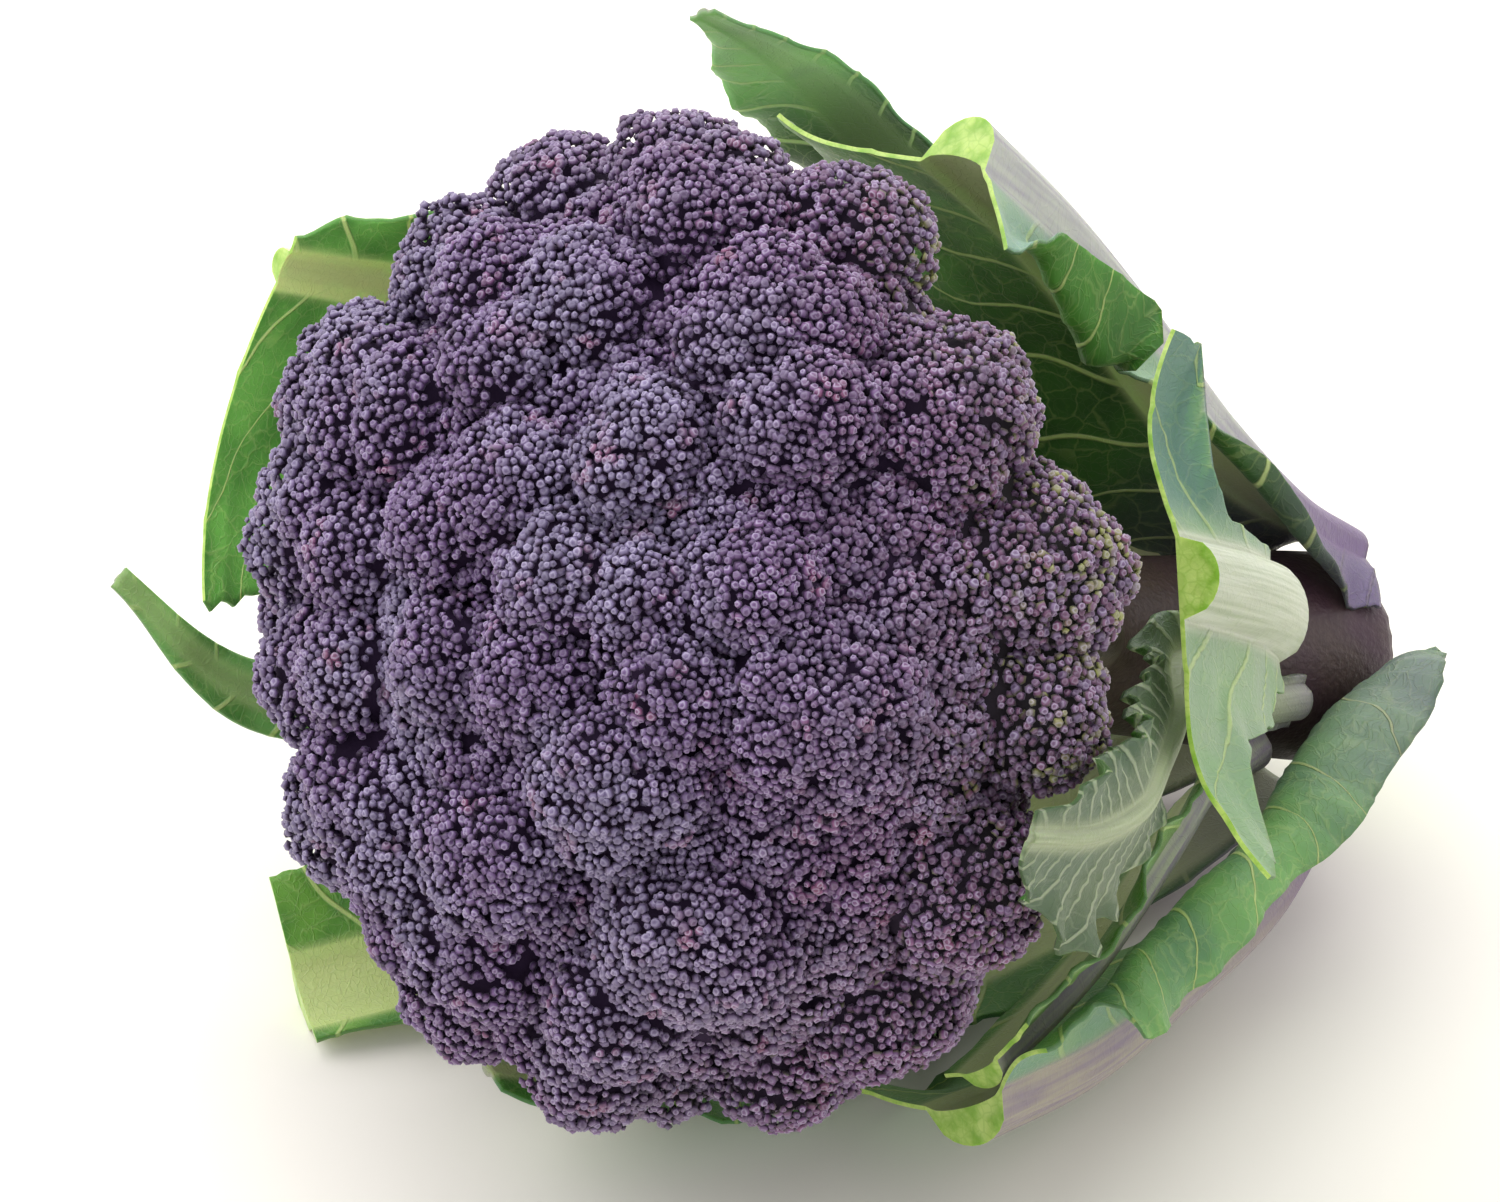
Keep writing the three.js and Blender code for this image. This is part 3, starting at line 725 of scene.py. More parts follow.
@dataclass
class FloretHead:
    """The head of florets: tissue below, knobs, small clusters on them, and a bud for each bead.

    Sizes are in millimetres. A pair of numbers is a least and a greatest value. The three numbers of
    crowding are the least gaps of knobs, clusters and buds, as shares of their spacings.
    """

    form: HeadForm = field(default_factory=HeadForm)
    finish: BudFinish = field(default_factory=BudFinish)
    flesh: FloretFleshFinish = field(default_factory=FloretFleshFinish)
    knob_spacing: float = 10.5
    knob_radius: Tuple[float, float] = (8.5, 12.0)
    knob_depth: float = 1.0
    knob_rise: Tuple[float, float] = (-0.5, 1.0)
    cluster_spacing: float = 3.6
    cluster_radius: float = 2.3
    cluster_size: Tuple[float, float] = (0.88, 1.15)
    cluster_rise: Tuple[float, float] = (-0.5, 0.9)
    bud_spacing: float = 1.21
    bud_radius: float = 0.91
    bud_size: Tuple[float, float] = (0.74, 1.2)
    bud_tilt: float = 0.34
    bud_stray: float = 0.12
    crowding: Tuple[float, float, float] = (0.88, 0.78, 0.86)
    crease: float = 4.5
    crease_from: Tuple[float, float] = (1.8, 4.6)
    lowest: float = -0.40
    trial_points: int = 7000
    tissue_rows: int = 72
    tissue_columns: int = 144
    tissue_depth: float = 9.0
    tissue_below: Tuple[float, float] = (2.0, 1.8)
    pieces: int = 5
    seed: int = 11

    def thin(self, points: np.ndarray, order: np.ndarray, spacing: float) -> np.ndarray:
        """Keeps points that aren't too close to one kept before.

        Args:
            points: All points.
            order: Numbers of the points, the most wanted first.
            spacing: Least distance between kept points.

        Returns:
            Numbers of the kept points.
        """
        tree = point_tree(points)
        places = points.tolist()
        free = np.ones(len(points), bool)
        kept = []
        for i in order.tolist():
            if free[i]:
                kept.append(i)
                for _, j, _ in tree.find_range(places[i], spacing):
                    free[j] = False
        return np.array(kept)

    def beads(
        self, rng: np.random.Generator, middles: np.ndarray, radii: np.ndarray, facing: np.ndarray,
        spacing: float, cover: float, sink: float,
    ) -> Tuple[np.ndarray, np.ndarray, np.ndarray]:
        """Spreads points over the outer side of many balls, leaving out what another ball hides.

        Args:
            rng: Seeded source of the balls' turns.
            middles: Middles of the balls.
            radii: Their radii.
            facing: Outward direction of each ball.
            spacing: Distance between the points.
            cover: Lowest share of facing that still gets a point.
            sink: Depth inside another ball that hides a point.

        Returns:
            Points, their outward directions, and the ball that each belongs to.
        """
        # In a close packing each point has the room of a hexagon, 0.866 of its spacing squared.
        count = int(4 * math.pi * float(np.mean(radii)) ** 2 / (0.866 * spacing ** 2))
        ways = np.einsum("mij,nj->mni", self.turns(rng, len(middles)), golden_ways(count))
        seen = np.einsum("mni,mi->mn", ways, facing) > cover
        ball, number = np.nonzero(seen)
        out = ways[ball, number]
        points = middles[ball] + out * radii[ball][:, None]
        tree = point_tree(middles)
        widest = float(radii.max())
        keep = np.ones(len(points), bool)
        limit = (radii - sink).tolist()
        owner = ball.tolist()
        for i, p in enumerate(points.tolist()):
            for _, j, gap in tree.find_range(p, widest):
                if j != owner[i] and gap < limit[j]:
                    keep[i] = False
                    break
        return points[keep], out[keep], ball[keep]

    @staticmethod
    def turns(rng: np.random.Generator, count: int) -> np.ndarray:
        """Random rotations.

        Args:
            rng: Seeded source of the turns.
            count: Number of rotations.

        Returns:
            Three rows for each rotation.
        """
        w, x, y, z = unit(rng.normal(size=(count, 4))).T
        return np.stack([
            1 - 2 * (y * y + z * z), 2 * (x * y - z * w), 2 * (x * z + y * w),
            2 * (x * y + z * w), 1 - 2 * (x * x + z * z), 2 * (y * z - x * w),
            2 * (x * z - y * w), 2 * (y * z + x * w), 1 - 2 * (x * x + y * y),
        ], 1).reshape(-1, 3, 3)

    @staticmethod
    def towards(way: np.ndarray, azimuth: float) -> np.ndarray:
        """Share from 0 to 1 in which directions lean to an azimuth in degrees."""
        return 0.5 + 0.5 * np.cos(np.arctan2(way[:, 1], way[:, 0]) - math.radians(azimuth))

    def greenness(self, way: np.ndarray) -> np.ndarray:
        """Share of yellow-green that shows between the buds, most at the rim of the upper right side.

        Args:
            way: Unit directions from the head's middle.

        Returns:
            Shares from 0 to 1.
        """
        rim = smooth(0.3, -0.2, way[:, 2])
        return np.clip(rim * (0.08 + 0.75 * self.towards(way, -20.0) ** 1.5), 0.0, 1.0)

    def blush(self, way: np.ndarray) -> np.ndarray:
        """Share of pink in the buds, which grows towards the rim of the right side."""
        return smooth(0.75, -0.1, way[:, 2]) * (0.2 + 0.8 * self.towards(way, -45.0))

    def build(self) -> List[bpy.types.Object]:
        """Makes the tissue and the pieces of the bud cover.

        Returns:
            The pieces, the tissue first.
        """
        rng = np.random.default_rng(self.seed)
        knobs, radii, normal = self.knobs(rng)
        middles, sizes, out = self.clusters(rng, knobs, radii, normal)
        buds, values = self.buds(rng, middles, sizes, out)
        LOG.info("%d knobs, %d clusters, %d buds", len(knobs), len(middles), len(buds))
        placed = POSE.lay(buds + np.array([0, 0, POSE.head_at]))
        sector = self.sectors(unit(buds))
        bud, material = self.bud_mesh(), self.finish.material()
        made = [self.tissue(knobs, radii)]
        for k in range(self.pieces):
            here = sector == k
            part = {name: array[here] for name, array in values.items()}
            made.append(self.cover(f"florets_{k + 1}", placed[here], part, bud, material, self.seed + k))
        bpy.data.objects.remove(bud)
        return made

    def knobs(self, rng: np.random.Generator) -> Tuple[np.ndarray, np.ndarray, np.ndarray]:
        """Sets the knobs side by side under the head's skin, deeper in the creases between florets.

        Args:
            rng: Seeded source of their sizes and depths.

        Returns:
            Their middles about the head's middle, their radii and their outward directions.
        """
        ways = golden_ways(self.trial_points)
        ways = ways[ways[:, 2] > self.lowest]
        skin, normal = self.form.skin(ways)
        kept = self.thin(skin, rng.permutation(len(skin)), self.knob_spacing * self.crowding[0])
        skin, ways = skin[kept], ways[kept]
        # Knobs face as the skin does, and a little more away from the head's middle.
        normal = unit(normal[kept] * 0.75 + ways * 0.25)
        radii = rng.uniform(*self.knob_radius, size=len(skin))
        depth = self.knob_depth + rng.uniform(*self.knob_rise, size=len(skin))
        hang = self.form.ellipsoid(ways, self.form.wide, self.form.pole) - np.linalg.norm(skin, axis=1)
        depth += self.crease * smooth(*self.crease_from, hang)
        return skin - normal * (radii + depth)[:, None], radii, normal

    def clusters(
        self, rng: np.random.Generator, knobs: np.ndarray, radii: np.ndarray, normal: np.ndarray
    ) -> Tuple[np.ndarray, np.ndarray, np.ndarray]:
        """Covers the knobs with small clusters.

        Args:
            rng: Seeded source of their places and sizes.
            knobs: Middles of the knobs.
            radii: Their radii.
            normal: Their outward directions.

        Returns:
            The clusters' middles, radii and outward directions.
        """
        points, out, _ = self.beads(rng, knobs, radii, normal, self.cluster_spacing, cover=-0.1, sink=0.5)
        outermost = np.argsort(-np.sum(points * out, 1))
        kept = self.thin(points, outermost, self.cluster_spacing * self.crowding[1])
        points, out = points[kept], out[kept]
        size = self.cluster_radius * rng.uniform(*self.cluster_size, size=len(points))
        sink = size * 0.5 + rng.uniform(*self.cluster_rise, size=len(points))
        return points - out * sink[:, None], size, out

    def buds(
        self, rng: np.random.Generator, middles: np.ndarray, radii: np.ndarray, out: np.ndarray
    ) -> Tuple[np.ndarray, Dict[str, np.ndarray]]:
        """Covers the clusters with buds.

        Args:
            rng: Seeded source of their places, turns, sizes and tints.
            middles: Middles of the clusters.
            radii: Their radii.
            out: Their outward directions.

        Returns:
            Places about the head's middle, and what each bud carries.
        """
        mood = rng.uniform(size=len(middles))
        # The trial points stand closer than the buds, so that enough are left on every side.
        trial = self.bud_spacing * 0.72
        buds, facing, cluster = self.beads(rng, middles, radii, out, trial, cover=0.0, sink=0.2)
        outermost = np.argsort(-np.sum(buds * out[cluster], 1))
        kept = self.thin(self.flattened(buds), outermost, self.bud_spacing * self.crowding[2])
        buds, facing, cluster = buds[kept], facing[kept], cluster[kept]
        tilt = rng.normal(scale=self.bud_tilt, size=facing.shape)
        facing = unit(facing * 0.7 + out[cluster] * 0.3 + tilt)
        buds = buds + rng.normal(scale=self.bud_stray, size=buds.shape)
        way, count, mood = unit(buds), len(buds), mood[cluster]
        green = self.greenness(way)
        return buds, {
            "facing": POSE.turn_only(facing),
            "size": self.bud_radius * MM * rng.uniform(*self.bud_size, size=count),
            "tint": rng.uniform(size=count) * 0.6 + mood * 0.4,
            "patch": mood,
            "blush": self.blush(way) * rng.uniform(0.4, 1.3, size=count),
            "green": np.clip(green * rng.uniform(0.0, 1.2, size=count) * (0.3 + mood), 0, 1),
        }

    def flattened(self, points: np.ndarray) -> np.ndarray:
        """Draws points about half way to a smooth head, so that buds one below the other count as close.

        Args:
            points: Points about the head's middle.

        Returns:
            The drawn points.
        """
        way, reach = unit(points), np.linalg.norm(points, axis=1)
        even = self.form.ellipsoid(way, self.form.wide, self.form.pole)
        return way * (0.55 * even + 0.45 * reach)[:, None]

    def sectors(self, way: np.ndarray) -> np.ndarray:
        """Deals the buds out to pieces of equal number, each one side of the head.

        Args:
            way: Unit directions of the buds.

        Returns:
            The number of each bud's piece.
        """
        rank = np.argsort(np.argsort(np.arctan2(way[:, 1], way[:, 0])))
        return (rank * self.pieces) // len(way)

    def bud_mesh(self) -> bpy.types.Object:
        """One bud of radius one: five uneven sepals closed over a small dimple.

        Returns:
            The bud, whose carried tip is 1 in the dimple and 0 at the widest ring.
        """
        points = [(0.08, -0.05, 0.66)]
        # Radius and height of the five points of the sepals' rims and of the bud's widest ring.
        inner = ((0.50, 0.98), (0.66, 0.76), (0.56, 0.92), (0.70, 0.70), (0.54, 0.86))
        outer = ((1.02, -0.10), (0.90, -0.16), (1.06, -0.05), (0.94, -0.14), (0.98, -0.10))
        for ring, shift in ((inner, 0.0), (outer, 0.5)):
            for k, (radius, height) in enumerate(ring):
                a = 2 * math.pi * (k + shift) / 5
                points.append((radius * math.cos(a), radius * math.sin(a), height))
        faces = [(0, 1 + k, 1 + (k + 1) % 5) for k in range(5)]
        for k in range(5):
            n = (k + 1) % 5
            faces.append((1 + k, 6 + k, 1 + n))
            faces.append((1 + n, 6 + k, 6 + n))
        faces.append(tuple(6 + k for k in reversed(range(5))))
        bud = mesh_object("bud_pattern", np.array(points), faces)
        shade_smooth(bud.data)
        carry(bud.data, tip=np.array([1.0] + [0.62] * 5 + [0.0] * 5))
        return bud

    def cover_tree(self) -> bpy.types.NodeTree:
        """Node tree that sets a bud on every point, turned to face outwards.

        Returns:
            The tree.
        """
        tree = bpy.data.node_groups.new("bud_cover", "GeometryNodeTree")
        face = tree.interface
        for name, kind in (
            ("Points", "NodeSocketGeometry"), ("Bud", "NodeSocketObject"), ("Seed", "NodeSocketInt"),
            ("Scale", "NodeSocketFloat"), ("Finish", "NodeSocketMaterial"),
        ):
            face.new_socket(name, in_out="INPUT", socket_type=kind)
        face.new_socket("Buds", in_out="OUTPUT", socket_type="NodeSocketGeometry")
        source = add_node(tree, "NodeGroupInput").outputs
        facing, size = (
            add_node(tree, "GeometryNodeInputNamedAttribute", {"Name": name}, data_type=kind)
            for name, kind in (("facing", "FLOAT_VECTOR"), ("size", "FLOAT"))
        )
        turned = add_node(
            tree, "FunctionNodeAlignRotationToVector", {"Vector": facing.outputs["Attribute"]}, axis="Z"
        )
        chance = add_node(
            tree, "FunctionNodeRandomValue", {2: 0.0, 3: math.tau, "Seed": source["Seed"]}, data_type="FLOAT"
        )
        spin = add_node(tree, "ShaderNodeCombineXYZ", {"Z": chance.outputs[1]})
        about = add_node(tree, "FunctionNodeEulerToRotation", {0: spin.outputs[0]})
        both = add_node(
            tree, "FunctionNodeRotateRotation",
            {0: turned.outputs[0], 1: about.outputs[0]}, rotation_space="LOCAL",
        )
        scaled = add_node(
            tree, "ShaderNodeMath", {0: size.outputs["Attribute"], 1: source["Scale"]}, operation="MULTIPLY"
        )
        info = add_node(tree, "GeometryNodeObjectInfo", {"Object": source["Bud"]})
        placed = add_node(
            tree, "GeometryNodeInstanceOnPoints",
            {
                "Points": source["Points"], "Instance": info.outputs["Geometry"],
                "Rotation": both.outputs[0], "Scale": scaled.outputs[0],
            },
        )
        real = add_node(tree, "GeometryNodeRealizeInstances", {0: placed.outputs[0]})
        finished = add_node(
            tree, "GeometryNodeSetMaterial", {"Geometry": real.outputs[0], "Material": source["Finish"]}
        )
        add_node(tree, "NodeGroupOutput", {0: finished.outputs[0]})
        return tree

    def cover(
        self, name: str, points: np.ndarray, values: Dict[str, np.ndarray], bud: bpy.types.Object,
        material: bpy.types.Material, seed: int,
    ) -> bpy.types.Object:
        """Makes one side of the bud cover.

        Args:
            name: Name of the piece.
            points: Places of the buds in metres.
            values: What each bud carries.
            bud: The bud that is repeated.
            material: Finish of the buds.
            seed: Seed of the buds' turns.

        Returns:
            The cover as one plain mesh.
        """
        piece = mesh_object(name, points, [])
        carry(piece.data, **values)
        tree = bpy.data.node_groups.get("bud_cover") or self.cover_tree()
        modifier = piece.modifiers.new("bud_cover", "NODES")
        modifier.node_group = tree
        settings = {"Bud": bud, "Seed": seed, "Scale": 1.0, "Finish": material}
        for item in tree.interface.items_tree:
            if item.item_type == "SOCKET" and item.in_out == "INPUT" and item.name in settings:
                modifier[item.identifier] = settings[item.name]
        plain = evaluated_mesh(piece)
        piece.modifiers.clear()
        points_only, piece.data = piece.data, plain
        bpy.data.meshes.remove(points_only)
        plain.name = name
        for spare in ("facing", "size"):
            if spare in plain.attributes:
                plain.attributes.remove(plain.attributes[spare])
        shade_smooth(plain)
        settle(piece, "florets", "head")
        return piece

    def tissue(self, knobs: np.ndarray, radii: np.ndarray) -> bpy.types.Object:
        """The closed body under the buds: knobs above, a smooth underside below.

        Args:
            knobs: Middles of the knobs about the head's middle.
            radii: Their radii.

        Returns:
            The piece.
        """
        rows, cols = self.tissue_rows, self.tissue_columns
        lat = np.pi * (np.arange(1, rows) / rows)
        lon = 2 * np.pi * np.arange(cols) / cols
        grid = np.stack([
            np.sin(lat)[:, None] * np.cos(lon)[None, :],
            np.sin(lat)[:, None] * np.sin(lon)[None, :],
            np.repeat(np.cos(lat)[:, None], cols, 1),
        ], 2).reshape(-1, 3)
        way = np.vstack([[[0, 0, 1.0]], grid, [[0, 0, -1.0]]])
        reach = self.form.reach(way)
        fade = 0.06
        covered = smooth(self.lowest - fade, self.lowest + fade, way[:, 2])
        below_knobs, below_skin = self.tissue_below
        low = reach - self.tissue_depth
        for middle, radius in zip(knobs, radii - below_knobs):
            knob = self.form.far_side(way, middle, radius)
            low = np.maximum(low, np.minimum(knob, reach - below_skin))
        reach = low * covered + reach * (1 - covered)
        points = way * reach[:, None] + np.array([0, 0, POSE.head_at])
        faces: List[Tuple[int, ...]] = []
        last = len(way) - 1
        for k in range(cols):
            n = (k + 1) % cols
            faces.append((0, 1 + k, 1 + n))
            faces.append((last, last - cols + n, last - cols + k))
            for i in range(rows - 2):
                a = 1 + i * cols
                faces.append((a + k, a + cols + k, a + cols + n, a + n))
        piece = mesh_object("floret_tissue", POSE.lay(points), faces)
        shade_smooth(piece.data)
        carry(piece.data, green=self.greenness(way) * 0.25, under=1 - covered)
        piece.data.materials.append(self.flesh.material())
        settle(piece, "florets", "head")
        return piece


class Spine:
    """Smooth curve through the points of a midrib, even in speed at its corners."""

    def __init__(self, points: np.ndarray) -> None:
        """Keeps the points and adds one beyond each end.

        Args:
            points: Points of the midrib, from the stalk to the tip.
        """
        first = 2 * points[0] - points[1]
        last = 2 * points[-1] - points[-2]
        self.points = np.vstack([first, points, last])
        self.pieces = len(points) - 1

    def at(self, t: np.ndarray) -> np.ndarray:
        """Points of the curve.

        Args:
            t: Shares of the curve, from 0 to 1.

        Returns:
            One point for each share.
        """
        p = np.clip(t, 0, 1) * self.pieces
        i = np.minimum(p.astype(int), self.pieces - 1)
        w = (p - i)[:, None]
        a, b, c, d = (self.points[i + k] for k in range(4))
        steps = (b - a, c - b, d - c)
        low, mid, high = (np.maximum(np.linalg.norm(s, axis=1) ** 0.5, 1e-4)[:, None] for s in steps)
        leave = ((b - a) / low - (c - a) / (low + mid) + (c - b) / mid) * mid
        reach = ((c - b) / mid - (d - b) / (mid + high) + (d - c) / high) * mid
        bend = -3 * b + 3 * c - 2 * leave - reach
        return b + leave * w + bend * w ** 2 + (2 * b - 2 * c + leave + reach) * w ** 3

    def tangent(self, t: np.ndarray) -> np.ndarray:
        """Directions of the curve."""
        step = 1e-4
        return unit(self.at(np.minimum(t + step, 1)) - self.at(np.maximum(t - step, 0)))


def along(rows: Rows, t: np.ndarray) -> np.ndarray:
    """Eased values between rows whose first number is the share of the length.

    Args:
        rows: Rows of a share and its values.
        t: Shares to read.

    Returns:
        Values, one row for each share.
    """
    table = np.array(rows, float)
    i = np.clip(np.searchsorted(table[:, 0], t, side="left") - 1, 0, len(table) - 2)
    low, high = table[i], table[i + 1]
    s = smooth(0.0, 1.0, (t - low[:, 0]) / (high[:, 0] - low[:, 0]))[:, None]
    return low[:, 1:] * (1 - s) + high[:, 1:] * s


class Midrib:
    """The rib of a leaf at each row: its middle, its directions and its half width."""

    def __init__(self, stations: Rows, half: Rows, step: float) -> None:
        """Sets out the rows along the rib.

        Args:
            stations: Rows of an azimuth, a radius and a height on the upright plant.
            half: Rows of a share of the length and the half width there.
            step: Distance between the rows.
        """
        spine = Spine(np.array([cylinder_point(*row) for row in stations]))
        samples = 60
        track = spine.at(np.linspace(0, 1, samples))
        self.length = float(np.sum(np.linalg.norm(np.diff(track, axis=0), axis=1)))
        self.share = np.linspace(0, 1, int(self.length / step) + 1)
        self.middle, self.forward = spine.at(self.share), spine.tangent(self.share)
        level = unit(self.middle * np.array([1, 1, 0]))
        self.outward = unit(level - self.forward * np.sum(level * self.forward, 1)[:, None])
        self.sideways = np.cross(self.forward, self.outward)
        self.half = along(half, self.share)[:, 0]


class Column(NamedTuple):
    """One line of points down the length of a leaf, with what its skin reads there."""

    outer: np.ndarray
    inner: np.ndarray
    across: np.ndarray
    rib: np.ndarray
    reach: np.ndarray


@dataclass
class Leaf:
    """One trimmed leaf: a rib with its stalk, and a blade on both sides, as one closed sheet.

    Each row of a half blade is its share of the length, the width, three or four bends from the rib
    to the margin in degrees, positive towards the head, and the forward sweep. Wave is the height of
    the waves, their number and their start. A blade has teeth and waves from the first toothed width
    on, in full from the second. Vein_share is the part of the veins' spacing that a raised vein takes
    to each side. Violet_foot is the height on the plant where the violet starts and where it is full,
    and painted_shade_foot the same for the painted shade of the inner face, as shares of the length.
    Sizes are in millimetres.
    """

    name: str
    rib: Rows
    half: Rows
    deep: Tuple[float, float]
    near: Rows
    far: Rows
    wave: Tuple[float, float, float]
    finish: LeafFinish
    blade: float = 0.8
    step: float = 1.5
    frill: float = 0.5
    teeth: float = 0.04
    tooth_rows: int = 34
    toothed_width: Tuple[float, float] = (4.0, 14.0)
    slant: float = 0.75
    hollow: float = 0.25
    rib_columns: int = 11
    rib_fade: float = 1.6
    far_margin: float = 30.0
    vein_height: float = 0.45
    vein_share: float = 0.13
    inner_relief: float = 0.6
    face_gap: float = 300.0
    violet_foot: Tuple[float, float] = (62.0, 24.0)
    # Painted shade: where along the leaf the inner face darkens towards its foot.
    painted_shade_foot: Tuple[float, float] = (0.8, 0.62)
    cut: bool = True

    def half_blade(self, side: Side, rib: Midrib) -> List[Column]:
        """One half of the blade.

        Args:
            side: Which half.
            rib: The leaf's rib.

        Returns:
            Its columns, from the rib to the margin.
        """
        rows = self.near if side is Side.NEAR else self.far
        strips = max(4, int(max(row[1] for row in rows) / self.step))
        wide, *bends, sweep = along(rows, rib.share).T
        knots = np.array((0.0, 0.55, 1.0) if len(bends) == 3 else (0.0, 0.35, 0.65, 1.0))
        comb = np.abs(np.sin(np.pi * rib.share * self.tooth_rows + side.sign))
        wide = wide * (1 - self.teeth * comb * smooth(*self.toothed_width, wide))
        turn = np.radians(sweep)[:, None]
        way = side.sign * rib.sideways * np.cos(turn) + rib.forward * np.sin(turn)
        height, number, start = self.wave
        height = height * np.minimum(1, wide / self.toothed_width[1])
        # The bend changes within a strip, so the margin is reached in three strides a strip.
        strides = 3
        count = strips * strides
        stride = (wide / count)[:, None]
        point = rib.middle + rib.sideways * (side.sign * rib.half)[:, None]
        columns = []
        for k in range(count + 1):
            q = k / count
            j = min(int(np.searchsorted(knots, q, side="right")) - 1, len(knots) - 2)
            share = (q - knots[j]) / (knots[j + 1] - knots[j])
            bend = np.radians(bends[j] + (bends[j + 1] - bends[j]) * share)
            normal = rib.outward * np.cos(bend)[:, None] + way * np.sin(bend)[:, None]
            if k % strides == 0 and k > 0:
                wave = np.sin(2 * np.pi * (number * rib.share + start + 0.3 * side.sign))
                frill = np.sin(2 * np.pi * (number * 3.3 * rib.share + 1.7 * start))
                rise = height * q * q * wave + self.frill * height * q ** 4 * frill
                middle, away = point + normal * rise[:, None], wide * q
                columns.append(Column(
                    middle + normal * self.blade / 2, middle - normal * self.blade / 2,
                    side.sign * (rib.half + away), np.exp(-away / self.rib_fade),
                    np.clip(away / self.far_margin, 0, 1),
                ))
            on, down = stride * np.cos(bend)[:, None], stride * np.sin(bend)[:, None]
            point = point + way * on - rib.outward * down
        return columns

    def rounded_rib(self, rib: Midrib) -> List[Column]:
        """The rounded rib.

        Args:
            rib: The leaf's rib.

        Returns:
            Its columns, from the near side to the far one.
        """
        deep = self.deep[0] + (self.deep[1] - self.deep[0]) * rib.share
        columns = []
        for q in np.linspace(-1, 1, self.rib_columns):
            bulge = math.sqrt(max(0.0, 1 - q * q))
            middle = rib.middle + rib.sideways * (q * rib.half)[:, None]
            columns.append(Column(
                middle + rib.outward * (self.blade / 2 + deep * bulge)[:, None],
                middle + rib.outward * (-self.blade / 2 + deep * self.hollow * bulge)[:, None],
                q * rib.half, np.ones_like(rib.half), np.zeros_like(rib.half),
            ))
        return columns

    def build(self, cut_finish: bpy.types.Material) -> bpy.types.Object:
        """Makes the leaf.

        Args:
            cut_finish: Material of the cut end.

        Returns:
            The piece.
        """
        rib = Midrib(self.rib, self.half, self.step)
        near, far = self.half_blade(Side.NEAR, rib), self.half_blade(Side.FAR, rib)
        columns = near[::-1] + self.rounded_rib(rib) + far
        out, inn, across, ribness, reach = (np.stack(values, 1) for values in zip(*columns))
        run = rib.share * rib.length
        phase = self.phase(across, run)
        away = np.sin(np.clip(np.abs((phase % 1.0) - 0.5) / self.vein_share, 0, 1) * np.pi / 2)
        raised = (1 - away) * self.vein_height * (1 - ribness) * smooth(0, 0.12, reach)
        lift = unit(out - inn) * raised[:, :, None]
        points = np.vstack([(out + lift).reshape(-1, 3), (inn + lift * self.inner_relief).reshape(-1, 3)])
        placed = POSE.lay(points)
        placed[:, 2] = np.maximum(placed[:, 2], 0.0)
        rows, cols = across.shape
        piece = mesh_object(self.name + "_sheet", placed, self.faces(rows, cols).tolist())
        mesh = piece.data
        shade_smooth(mesh)
        flat = np.stack([across.ravel(), np.repeat(run, cols), np.zeros(rows * cols)], 1)
        # The inner face reads the patterns this far from the outer one, so the two differ.
        aside = np.array([0.0, self.face_gap, 0.0])
        carry(
            mesh,
            sheet=np.vstack([flat, flat + aside]),
            phase=np.tile(phase.ravel(), 2),
            rib=np.tile(ribness.ravel(), 2),
            reach=np.tile(reach.ravel(), 2),
            inner=np.repeat([0.0, 1.0], rows * cols),
            base=smooth(*self.violet_foot, points[:, 2]),
            # The foot carries where the inner face is painted darker as shade.
            foot=np.tile(np.repeat(smooth(*self.painted_shade_foot, run / run[-1]), cols), 2),
        )
        mesh.materials.append(self.finish.material())
        mesh.materials.append(cut_finish)
        if self.cut:
            self.dress_cut(mesh, rows, cols)
        settle(piece, self.name, self.name)
        return piece

    @staticmethod
    def faces(rows: int, cols: int) -> np.ndarray:
        """Faces of a closed sheet, the outer points first and the end last.

        Args:
            rows: Rows of points along the leaf.
            cols: Columns of points across it.

        Returns:
            Four corners for each face.
        """
        under = rows * cols
        cell = (np.arange(rows - 1)[:, None] * cols + np.arange(cols - 1)[None, :]).ravel()
        near = np.arange(rows - 1) * cols
        far = near + cols - 1
        foot = np.arange(cols - 1)
        end = (rows - 1) * cols + foot
        return np.vstack([np.stack(corners, 1) for corners in (
            (cell, cell + 1, cell + 1 + cols, cell + cols),
            (under + cell, under + cell + cols, under + cell + cols + 1, under + cell + 1),
            (near + cols, under + near + cols, under + near, near),
            (far, under + far, under + far + cols, far + cols),
            (foot, under + foot, under + foot + 1, foot + 1),
            (end + 1, under + end + 1, under + end, end),
        )])

    def phase(self, across: np.ndarray, run: np.ndarray) -> np.ndarray:
        """Number of side veins passed up to each point, counted along the rib.

        Args:
            across: Distances across the sheet.
            run: Distances along the rib.

        Returns:
            A number that passes a half at each vein.
        """
        out, up = np.abs(across), run[:, None]
        # The veins slant and curve towards the tip, wander a little, and alternate at the rib.
        passed = up - self.slant * out + 0.004 * out * out * np.sign(self.slant)
        wander = 1.6 * np.sin(up * 0.13 + np.sign(across) * 1.1)
        passed = passed + wander + 0.9 * np.sin(out * 0.31 + up * 0.07)
        return passed / self.finish.spacing + np.where(across > 0, 0.45, 0.0)

    @staticmethod
    def dress_cut(mesh: bpy.types.Mesh, rows: int, cols: int) -> None:
        """Gives the cut end its flesh and keeps its rim crisp.

        Args:
            mesh: Mesh of the leaf, whose last faces are the cut end.
            rows: Rows of points along the leaf.
            cols: Columns of points across it.
        """
        index = np.zeros(len(mesh.polygons), np.int32)
        index[-(cols - 1):] = 1
        mesh.polygons.foreach_set("material_index", index)
        last_row = np.arange((rows - 1) * cols, rows * cols)
        pairs = np.zeros(len(mesh.edges) * 2, np.int32)
        mesh.edges.foreach_get("vertices", pairs)
        rim = np.isin(pairs.reshape(-1, 2), np.concatenate([last_row, last_row + rows * cols])).all(1)
        mesh.edges.foreach_set("use_edge_sharp", rim)


